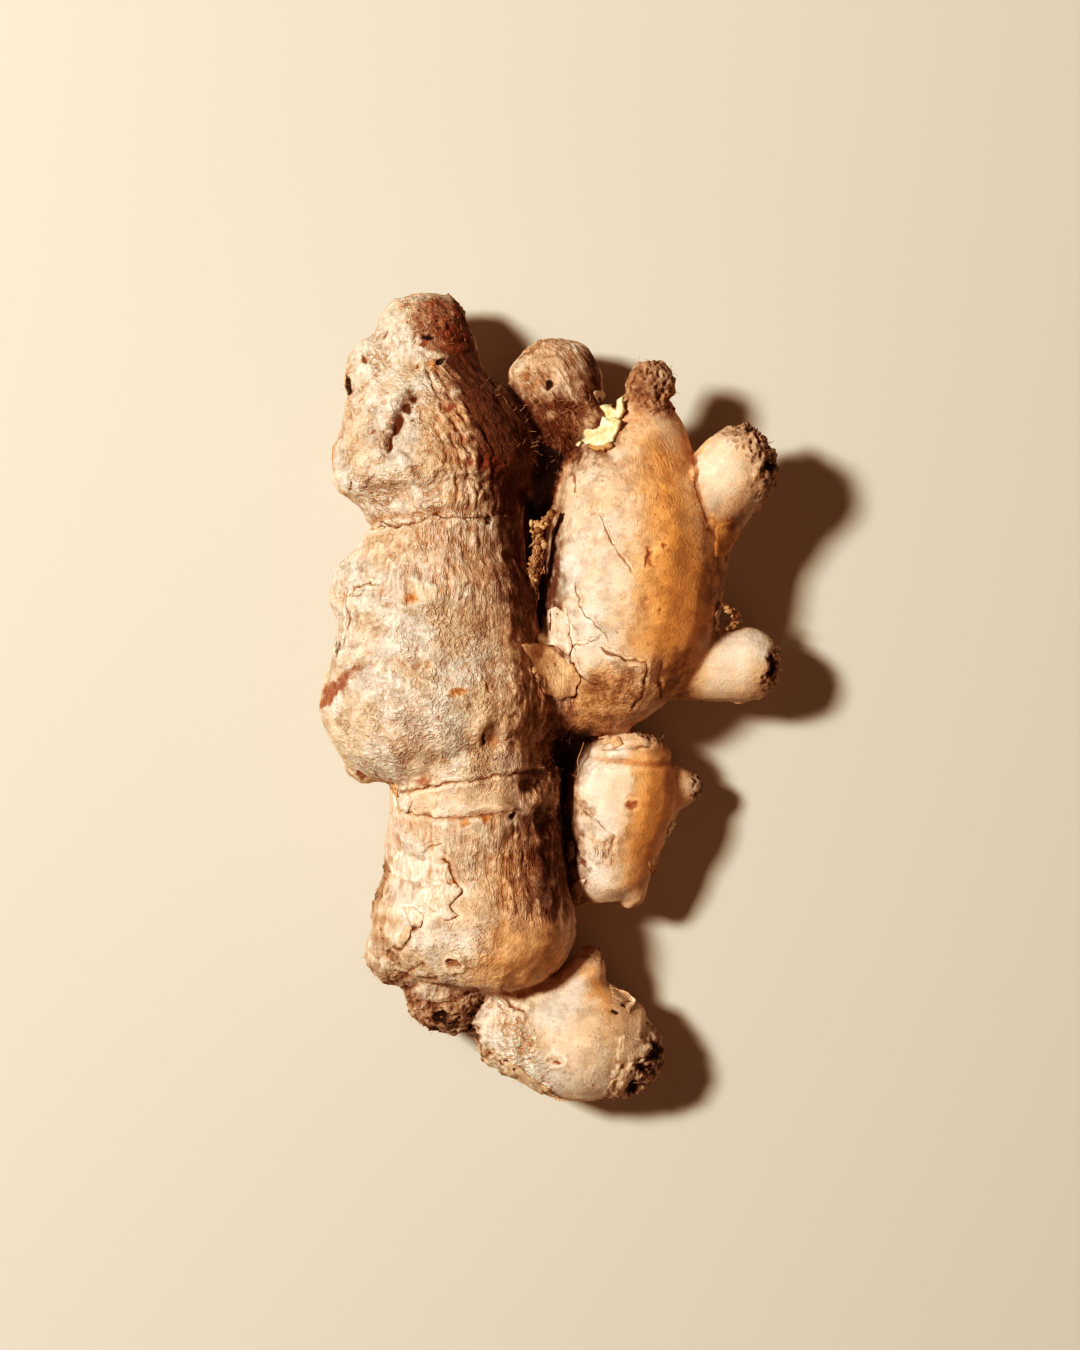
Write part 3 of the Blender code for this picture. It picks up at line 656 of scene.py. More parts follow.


# %% Zones: where a kind of skin grows, and where shade is painted
# Each zone has its outline in pixels, the softness of its edge in mm, and a strength for each tint.
ZONES = {
    "crown": ([(330, 285), (480, 285), (548, 420), (548, 530), (370, 540), (325, 460)], 3.0,
              {"wrinkle": 0.35, "dry": 0.12, "pebble": 1.0}),
    "crown_top": ([(425, 292), (452, 290), (475, 330), (478, 372), (440, 372), (425, 330)], 2.5,
                  {"rust": 0.30, "dry": 0.5, "wrinkle": 0.4}),
    # Partly painted shade: the brown of dried skin here also stands for shade on the crown's right side.
    "crown_right": ([(440, 350), (480, 362), (548, 450), (552, 530), (446, 520), (430, 400)], 3.0,
                    {"wrinkle": 1.0, "dry": 0.45}),
    "crown_shade": ([(456, 296), (484, 340), (520, 400), (560, 430), (560, 536), (500, 530), (486, 470),
                     (474, 425), (450, 366)], 2.6, {"painted_shade": 0.85, "dry": 0.8, "wrinkle": 1.0}),
    # Painted shadow to the right of the crown, with root hairs.
    "crown_back_painted_shadow": ([(466, 350), (500, 372), (545, 430), (550, 470), (512, 462), (478, 400)], 3.0,
                   {"painted_shade": 0.95, "soot_and_shade": 0.30, "hairy": 0.3}),
    "waist": ([(366, 522), (552, 518), (556, 640), (520, 612), (370, 600)], 2.5,
              {"wrinkle": 1.0, "dry": 0.12}),
    # Partly painted shade: dried-skin brown on the waist's right side.
    "waist_right": ([(452, 528), (552, 518), (560, 660), (500, 640), (462, 590)], 3.5,
                    {"wrinkle": 1.0, "dry": 0.55}),
    "waist_shade": ([(500, 500), (560, 500), (562, 660), (530, 650), (508, 590)], 4.0, {"painted_shade": 0.75}),
    "trunk_middle": ([(400, 590), (560, 600), (575, 790), (430, 792), (390, 700)], 4.0, {"pebble": 0.75}),
    "trunk_band": ([(462, 590), (560, 600), (566, 690), (500, 680), (470, 640)], 4.0, {"dry": 0.5}),
    "trunk_left": ([(318, 545), (410, 560), (420, 790), (340, 790), (312, 700)], 4.0,
                   {"pebble": 0.9, "wrinkle": 0.25}),
    # Partly painted shade: dried-skin brown on the trunk's right side, over deep wrinkles.
    "trunk_right": ([(508, 640), (575, 660), (580, 800), (530, 800), (506, 730)], 3.0,
                    {"wrinkle": 1.2, "dry": 0.7}),
    "trunk_shade": ([(532, 650), (580, 670), (590, 810), (540, 810), (528, 740)], 4.0, {"painted_shade": 0.25}),
    "heel_band": ([(404, 790), (548, 776), (556, 806), (520, 813), (412, 815)], 1.0, {"honey_and_shade": 0.10}),
    "heel_fibres": ([(490, 822), (580, 815), (585, 905), (545, 925), (500, 914)], 2.4,
                    {"wrinkle": 1.05, "dry": 0.6}),
    "heel_fibres_shade": ([(524, 812), (580, 815), (585, 905), (545, 925), (530, 890)], 3.5,
                          {"painted_shade": 0.55}),
    "heel_upper": ([(385, 815), (500, 822), (500, 900), (385, 900)], 4.0,
                   {"wrinkle": 0.7, "dry": 0.15, "pebble": 0.5}),
    "heel_lower": ([(380, 900), (500, 905), (500, 1000), (380, 1000)], 4.0,
                   {"pebble": 0.4, "dry": 0.10}),
    # Painted warm shade on the heel's lower right.
    "heel_low_painted_shade": ([(496, 920), (560, 915), (565, 970), (520, 990), (470, 978)], 4.0,
                   {"honey_and_shade": 0.75}),
    "heel_corner": ([(368, 900), (410, 960), (480, 990), (440, 1035), (370, 1000)], 3.0,
                    {"crust": 0.20, "dry": 0.30, "wrinkle": 1.0, "pebble": 0.8}),
    "heel_left": ([(372, 850), (396, 840), (398, 930), (372, 960)], 2.0,
                  {"dry": 0.5, "wrinkle": 0.9}),
    "thumb": ([(500, 335), (610, 335), (612, 420), (590, 470), (520, 470)], 3.0,
              {"dry": 0.65, "wrinkle": 1.2, "pebble": 0.6}),
    "thumb_shade": ([(590, 345), (620, 360), (620, 440), (596, 470), (584, 410)], 3.5,
                    {"painted_shade": 0.55, "dry": 0.6}),
    # Partly painted shade: the thumb's root is crusted, hairy and wrinkled, and painted dark as shade as
    # well.
    "thumb_root": ([(520, 400), (595, 395), (588, 470), (535, 470)], 2.5,
                   {"crust": 0.25, "dry": 1.0, "hairy": 1.2, "painted_shade": 0.4, "wrinkle": 1.5}),
    "stub": ([(628, 372), (650, 362), (690, 420), (640, 425), (622, 420)], 2.5,
             {"dry": 0.8, "wrinkle": 0.8}),
    "palm_top": ([(590, 440), (640, 425), (690, 440), (690, 520), (600, 560), (560, 540)], 5.0,
                 {"wrinkle": 0.25, "honey_and_shade": 0.20}),
    "palm_shade": ([(640, 415), (692, 452), (702, 505), (730, 560), (724, 640), (690, 700), (630, 650),
                    (642, 540)], 8.0,
                   {"honey_and_shade": 1.1, "dry": 0.25}),
    # Painted shade at the palm's right edge.
    "palm_edge_painted_shade": ([(716, 500), (745, 520), (750, 620), (720, 650), (712, 600)], 4.0,
                  {"painted_shade": 0.35, "dry": 0.6}),
    "stub_shade": ([(662, 396), (690, 400), (716, 450), (704, 470), (680, 430)], 2.0,
                   {"honey_and_shade": 1.0, "dry": 0.4}),
    # Partly painted shade: brown, dried skin on the lobe, with painted shade in it.
    "palm_lobe": ([(582, 684), (604, 666), (650, 666), (652, 700), (612, 745), (560, 735)], 3.0,
                  {"honey_and_shade": 0.6, "wrinkle": 0.35, "pebble": 0.6, "dry": 1.1, "painted_shade": 0.15}),
    # Partly painted shade: browns round the low bud's root, some of them painted shade.
    "low_bud_root": ([(655, 660), (690, 650), (690, 705), (655, 705)], 1.5,
                     {"painted_shade": 0.25, "dry": 0.7, "honey_and_shade": 0.8}),
    "high_bud_root": ([(700, 500), (744, 520), (750, 570), (722, 580), (706, 540)], 2.0,
                      {"honey_and_shade": 0.8, "dry": 0.5}),
    # Painted warm shade on the ring finger's right side.
    "ring_right_painted_shade": ([(638, 750), (672, 742), (690, 790), (668, 860), (640, 905), (622, 860)], 4.5,
                   {"honey_and_shade": 1.05}),
    "ring_crease": ([(592, 838), (624, 838), (622, 862), (590, 862)], 2.0, {"wrinkle": 0.8}),
    # Painted warm shade in the valley by the little finger's right edge.
    "little_valley_painted_shade": ([(588, 972), (606, 978), (622, 1006), (616, 1022), (592, 1000)], 2.5,
                      {"honey_and_shade": 1.0}),
    # The next seven zones are painted warm shade, on sides that turn from the light.
    "bud_high_painted_shade": ([(722, 440), (762, 446), (770, 490), (738, 525), (712, 505)], 4.0, {"honey_and_shade": 0.6}),
    "bud_low_painted_shade": ([(696, 660), (745, 655), (775, 670), (765, 700), (696, 700)], 4.0, {"honey_and_shade": 0.5}),
    "little_side_painted_shade": ([(600, 930), (650, 960), (655, 1020), (605, 1040)], 5.0, {"honey_and_shade": 0.45}),
    "trunk_painted_warm_shade": ([(480, 600), (560, 610), (575, 790), (490, 790)], 8.0, {"honey_and_shade": 0.28}),
    "crown_painted_warm_shade": ([(440, 400), (520, 420), (530, 520), (430, 520)], 6.0, {"honey_and_shade": 0.22}),
    "heel_painted_warm_shade": ([(460, 820), (560, 820), (560, 920), (460, 930)], 6.0, {"honey_and_shade": 0.22}),
    "little_low_painted_shade": ([(545, 1030), (600, 1010), (625, 1045), (615, 1085), (570, 1085)], 4.0, {"honey_and_shade": 0.22}),
    "little_left": ([(484, 992), (530, 1008), (540, 1050), (560, 1100), (500, 1085), (478, 1050)], 2.5,
                    {"pebble": 1.2, "wrinkle": 0.6}),
}
for outline, soft, strengths in ZONES.values():
    at = near_marks(outline, 4.0 * soft / PIXEL)
    inside = smooth_step(-soft, soft, depth_inside(outline, ragged[at] + 2.0 * wander[at]))
    for name, strength in strengths.items():
        stain(name, inside * strength, at)
# The side that no camera saw gets tints of its own, in patches of noise.
tint["wrinkle"] += hidden * (0.25 + 0.5 * old_skin)
tint["pebble"] += hidden * 0.4
# On the hidden side, the dried browns and the orange are partly painted shade.
tint["dry"] += hidden * np.clip(0.25 + 0.35 * noise_at(place, 12.0, 25), 0.0, 1.0)
tint["honey_and_shade"] += hidden * np.clip(0.35 + 0.45 * noise_at(place, 14.0, 27), 0.0, 0.8)
print("zones painted:", len(ZONES))

# %% [markdown]
# ## Wrinkles, ribs and pebbles
# Skin shrinks as the root dries, and the flesh under it has long fibres, so wrinkles run lengthwise.
# Their height is noise on the grain coordinates, stretched along the fibres and bent by a second
# noise. Old joints are coarse all over, and young fingers stay smooth.

# %% Wrinkles and lumps
LUMP_HEIGHT = 0.55
LUMP_SPACING = 13.0
RIB_HEIGHT = 0.42
FOLD_HEIGHT = 0.28
WRINKLE_HEIGHT = 0.44
PEBBLE_HEIGHT = 0.26
ROUGH_YOUNG = 0.035
ROUGH_OLD = 0.085  # added to that of young skin

relief += PLUMP + LUMP_HEIGHT * noise_at(place, LUMP_SPACING, 1)
relief += LUMP_HEIGHT * noise_at(place, 0.42 * LUMP_SPACING, 2) * (0.12 + 0.33 * old_skin)
relief += RIB_HEIGHT * noise_at(grain, (4.0, 22.0, 4.0), 3) * (0.05 + 0.70 * old_skin)
bend = noise_vectors(place, 3.0, (4, 5, 6))
folds = noise_at(grain + 0.9 * bend, (1.7, 7.5, 1.7), 7)
wrinkles = 0.30 - np.abs(noise_at(grain + 0.8 * bend, (1.3, 5.0, 1.3), 8))
pebbles = 0.25 - np.abs(noise_at(place + 0.5 * bend, 1.6, 9))
coarse = rough_noise(place + 0.4 * bend, 2.0, 10, 3)
under = smooth_step(-0.7, -0.2, outward[:, 2])
relief += under * tint["wrinkle"] * (FOLD_HEIGHT * folds + WRINKLE_HEIGHT * wrinkles)
relief += under * tint["pebble"] * PEBBLE_HEIGHT * pebbles
relief += under * (ROUGH_YOUNG + ROUGH_OLD * old_skin) * coarse
print("wrinkles and lumps, mm:", relief.min().round(2), "to", relief.max().round(2))

# %% Leaf scars: limb, share of its length, depth, lip, half width
RINGS = [
    ("crown", 0.55, 0.35, 0.25, 0.9),
    ("crown", 0.86, 0.40, 0.25, 1.0),
    ("trunk", 0.56, 0.30, 0.25, 1.2),
    ("heel", 0.26, 0.40, 0.25, 0.9),
    ("heel", 0.72, 0.12, 0.15, 1.2),
    ("palm", 0.09, 0.70, 0.30, 0.8),
    ("thumb", 0.28, 0.20, 0.15, 0.9),
    ("ring_finger", 0.14, 0.55, 0.35, 0.8),
    ("little_finger", 0.24, 0.45, 0.35, 1.0),
    ("little_finger", 0.84, 0.45, 0.35, 0.9),
]
# How many more rings each limb has on the side that no camera saw.
HIDDEN_RINGS = {"crown": 4, "trunk": 5, "heel": 5, "palm": 6, "ring_finger": 3, "little_finger": 3}

ring_drift = 1.1 * noise_at(place, 9.0, 31)
ring_presence = np.clip(0.75 + 0.8 * noise_at(place, 12.0, 32), 0.2, 1.2)


def ring(limb, share, depth, lip, half_width, presence):
    """A groove under one raised lip that runs round a limb, with dirt in it."""
    number = LIMB_NUMBER[limb]
    own = np.flatnonzero(samples[:, 7] == number)
    centre = samples[own[int(round(share * (len(own) - 1)))]]
    run = (place - centre[:3]) @ centre[4:7] + ring_drift
    on_limb = np.where(limb_of == number, presence, 0.0)
    groove = bell(run, half_width)
    raised = bell(run + 2.0 * half_width, half_width)
    relief[:] += on_limb * (lip * raised - depth * groove)
    raise_tint("rust", 0.32 * on_limb * groove * broken, slice(None))


for limb, share, depth, lip, half_width in RINGS:
    ring(limb, share, depth, lip, half_width, ring_presence)
for limb, count in HIDDEN_RINGS.items():
    for step in range(count):
        ring(limb, (step + 0.6) / count, 0.25, 0.15, 0.6, ring_presence * hidden)
print("leaf scars:", len(RINGS) + sum(HIDDEN_RINGS.values()))

# %% Creases and cracks: route, half width, depth, lip, tint, strength
CREASES = {
    # The deep fold is painted dark, as the shadow in it.
    "crown_fold": ([(412, 400), (403, 413), (396, 426), (391, 438), (388, 452)], 1.2, 1.9, 0.3, "painted_shade", 1.6),
    "crown_fold_shallow": ([(400, 452), (413, 462), (420, 478)], 0.8, 0.35, 0.1, "rust", 0.3),
    "crown_wrinkle_1": ([(440, 408), (451, 425), (462, 441), (472, 460)], 0.40, 0.66, 0.28, "rust", 1.0),
    "crown_wrinkle_2": ([(458, 414), (468, 430), (479, 446), (486, 462)], 0.40, 0.66, 0.28, "rust", 1.0),
    "crown_wrinkle_3": ([(466, 406), (477, 424), (488, 441), (496, 458)], 0.36, 0.56, 0.21, "rust", 0.8),
    "crown_wrinkle_4": ([(426, 373), (434, 386), (441, 402)], 0.36, 0.49, 0.21, "rust", 0.8),
    "crown_wrinkle_5": ([(436, 372), (446, 388), (453, 404)], 0.32, 0.49, 0.21, "rust", 0.8),
    "crown_wrinkle_6": ([(446, 368), (458, 384), (468, 398)], 0.36, 0.56, 0.21, "soot_and_shade", 0.8),
    "crown_wrinkle_7": ([(450, 436), (458, 452), (462, 470)], 0.32, 0.49, 0.21, "rust", 0.8),
    "crown_wrinkle_8": ([(436, 428), (444, 444), (448, 462)], 0.32, 0.35, 0.17, "rust", 0.5),
    "crown_wrinkle_9": ([(474, 478), (477, 496), (475, 512)], 0.32, 0.42, 0.21, "rust", 0.6),
    "crown_wrinkle_10": ([(456, 478), (458, 494), (455, 510)], 0.29, 0.35, 0.17, "rust", 0.4),
    "scar_crack_1": ([(466, 463), (467, 474), (465, 485)], 0.5, 0.45, 0.1, "rust", 0.9),
    "scar_crack_2": ([(491, 464), (492, 476), (493, 488)], 0.45, 0.45, 0.1, "rust", 0.9),
    "scar_crack_3": ([(482, 482), (485, 492), (488, 501)], 0.4, 0.35, 0.1, "rust", 0.7),
    "scar_step": ([(431, 487), (437, 478), (446, 470), (446, 461)], 0.5, 0.25, 0.2, "rust", 0.4),
    "waist_line": ([(373, 534), (384, 530), (398, 528), (416, 524), (437, 518), (456, 519), (489, 519),
                    (520, 512)], 0.35, 0.35, 0.2, "rust", 0.75),
    "waist_dash": ([(383, 523), (391, 526), (398, 528)], 0.4, 0.3, 0.1, "rust", 0.9),
    "crown_slit_1": ([(366, 487), (373, 478)], 0.5, 0.5, 0.2, "rust", 1.0),
    "crown_slit_2": ([(349, 497), (352, 484)], 0.6, 0.5, 0.2, "rust", 1.0),
    "crown_slit_3": ([(384, 339), (388, 335)], 0.5, 0.4, 0.1, "soot_and_shade", 0.9),
    "eye_arc": ([(350, 597), (354, 589), (365, 586), (377, 585)], 0.35, 0.25, 0.15, "honey_and_shade", 0.7),
    "eye_arc_low": ([(351, 598), (357, 598), (365, 591)], 0.3, 0.2, 0.1, "honey_and_shade", 0.6),
    "trunk_arc": ([(346, 592), (345, 607), (350, 614), (350, 623), (345, 637), (343, 650)],
                  0.45, 0.3, 0.2, "rust", 0.8),
    "trunk_slit": ([(469, 585), (465, 592), (463, 600)], 0.5, 0.45, 0.2, "soot_and_shade", 0.7),
    "trunk_wrinkle": ([(484, 676), (489, 684), (492, 694)], 0.4, 0.35, 0.1, "rust", 0.6),
    "corner_crust": ([(377, 771), (384, 779), (393, 787), (406, 794), (412, 787)],
                     0.8, -0.35, 0.0, "rust", 1.0),
    "trunk_ring": ([(412, 792), (430, 789), (453, 785), (482, 780), (513, 776), (540, 772)],
                   0.45, 0.45, 0.35, "rust", 0.7),
    "heel_stroke": ([(440, 798), (437, 808)], 0.4, 0.2, 0.05, "rust", 0.6),
    "band_edge": ([(404, 812), (430, 818), (458, 820), (485, 817), (517, 812), (540, 806)],
                  0.5, 0.25, 0.1, "honey_and_shade", 0.5),
    "heel_crack_fine": ([(424, 853), (433, 848), (443, 844)], 0.3, 0.2, 0.1, "rust", 0.5),
    "heel_hook": ([(445, 862), (451, 866), (452, 872), (455, 880), (459, 888)], 0.5, 0.35, 0.2, "honey_and_shade", 0.9),
    "flake_crack": ([(461, 893), (457, 899), (452, 905), (454, 913), (457, 919)], 0.6, 0.5, 0.1, "rust", 1.0),
    "heel_crack": ([(420, 925), (414, 933), (407, 941), (403, 950), (400, 958)], 0.8, 0.6, 0.2, "rust", 0.9),
    "heel_crack_arm": ([(400, 951), (394, 950), (389, 954)], 0.6, 0.4, 0.1, "rust", 0.8),
    "heel_slit": ([(389, 975), (391, 986)], 0.7, 0.7, 0.2, "soot_and_shade", 0.8),
    "heel_fold_1": ([(398, 981), (410, 972), (424, 968)], 0.7, 0.35, 0.2, "honey_and_shade", 0.6),
    "heel_fold_2": ([(404, 992), (420, 983), (436, 980)], 0.7, 0.35, 0.2, "honey_and_shade", 0.6),
    "knob_join": ([(412, 1004), (432, 1008), (452, 1003), (476, 992)], 0.8, 0.6, 0.2, "rust", 0.6),
    "thumb_crack": ([(519, 361), (527, 356), (536, 352)], 0.3, 0.3, 0.1, "soot_and_shade", 0.8),
    "stub_line": ([(628, 414), (632, 402), (637, 390), (640, 378)], 0.35, 0.3, 0.1, "rust", 0.6),
    "palm_slit_high": ([(576, 477), (577, 484), (578, 492)], 0.45, 0.5, 0.2, "rust", 0.9),
    "palm_crack_thin": ([(604, 518), (608, 527), (613, 538), (618, 549)], 0.18, 0.25, 0.05, "soot_and_shade", 0.7),
    "palm_crack_side": ([(618, 549), (628, 560), (636, 574)], 0.3, 0.2, 0.1, "rust", 0.5),
    "palm_scar_slit": ([(652, 551), (651, 558), (650, 566)], 0.45, 0.45, 0.2, "rust", 0.9),
    "palm_crack_a": ([(579, 586), (581, 597), (582, 608), (591, 619), (602, 629), (613, 642)],
                     0.22, 0.25, 0.10, "rust", 0.7),
    "palm_crack_b": ([(563, 610), (567, 620), (572, 631), (574, 640), (571, 647), (574, 663), (581, 676)],
                     0.42, 0.5, 0.1, "rust", 1.0),
    "palm_crack_b_low": ([(580, 680), (577, 688), (577, 700)], 0.8, 0.9, 0.1, "soot_and_shade", 0.9),
    "palm_crack_c": ([(574, 646), (591, 645), (604, 638)], 0.22, 0.2, 0.1, "rust", 0.6),
    "palm_crack_d": ([(606, 650), (618, 657), (631, 662)], 0.38, 0.4, 0.2, "rust", 0.9),
    "palm_crack_f": ([(582, 679), (591, 682), (600, 687)], 0.3, 0.3, 0.1, "rust", 0.6),
    "palm_step": ([(631, 662), (650, 664), (650, 679), (643, 697), (636, 708)], 0.32, 0.35, 0.3, "rust", 0.4),
    "bud_low_line": ([(666, 664), (663, 680), (665, 700)], 0.35, 0.35, 0.1, "rust", 0.6),
    "bud_high_join": ([(702, 446), (700, 470), (704, 500), (716, 530)], 1.2, 0.5, 0.0, "honey_and_shade", 0.8),
    "ring_top": ([(610, 752), (625, 750), (640, 750), (656, 746)], 0.5, 0.4, 0.3, "rust", 0.5),
    "ring_fold_1": ([(611, 841), (608, 848), (607, 856)], 0.5, 0.4, 0.2, "rust", 0.3),
    "ring_fold_2": ([(617, 840), (615, 848), (611, 857)], 0.5, 0.45, 0.2, "rust", 0.4),
    "ring_fold_3": ([(604, 842), (601, 850), (600, 856)], 0.4, 0.3, 0.2, "rust", 0.2),
    "ring_crack": ([(587, 812), (597, 820), (609, 832)], 0.3, 0.3, 0.1, "rust", 0.5),
    "ring_crack_low": ([(583, 855), (588, 865), (592, 872)], 0.5, 0.5, 0.1, "rust", 0.8),
    "little_edge": ([(504, 989), (508, 1000), (515, 1008), (525, 1013)], 0.6, 0.5, 0.3, "rust", 0.8),
    "little_bud_line": ([(586, 960), (592, 957), (600, 962)], 0.35, 0.3, 0.1, "rust", 0.5),
    "little_end_line_1": ([(607, 1098), (618, 1084), (626, 1068), (634, 1050)], 0.5, 0.35, 0.2, "rust", 0.4),
    "little_end_line_2": ([(622, 1080), (632, 1062), (640, 1046)], 0.4, 0.3, 0.2, "rust", 0.4),
}
LINE_REACH = 16.0  # pixels round a line
LIP_AWAY = 1.9  # half widths from the line to its raised lip
NO_CRACK = 3.0  # half widths from a crack, where there is none

crack_side = np.full(len(place), NO_CRACK)
for route, half_width, depth, lip, name, strength in CREASES.values():
    at = near_marks(route, LINE_REACH)
    side, end_gap = line_side(route, ragged[at])
    away = np.abs(side)
    groove = bell(away, half_width)
    raised = bell(away - LIP_AWAY * half_width, half_width)
    relief[at] += seen[at] * (0.5 * lip * raised - 0.8 * depth * (groove * broken[at]))
    stain(name, 0.4 * strength * groove * broken[at], at)
    closer = away / half_width < np.abs(crack_side[at])
    near_end = np.abs(end_gap - away) < 1e-6
    line = strength * smooth_step(1.5, 0.8, away) * np.where(near_end, smooth_step(0.9, 0.1, end_gap), 1.0)
    crack_side[at[closer]] = side[closer] / half_width
    tint["crack"][at[closer]] = (line * np.minimum(broken[at], 1.0) * seen[at])[closer]
print("creases drawn:", len(CREASES))

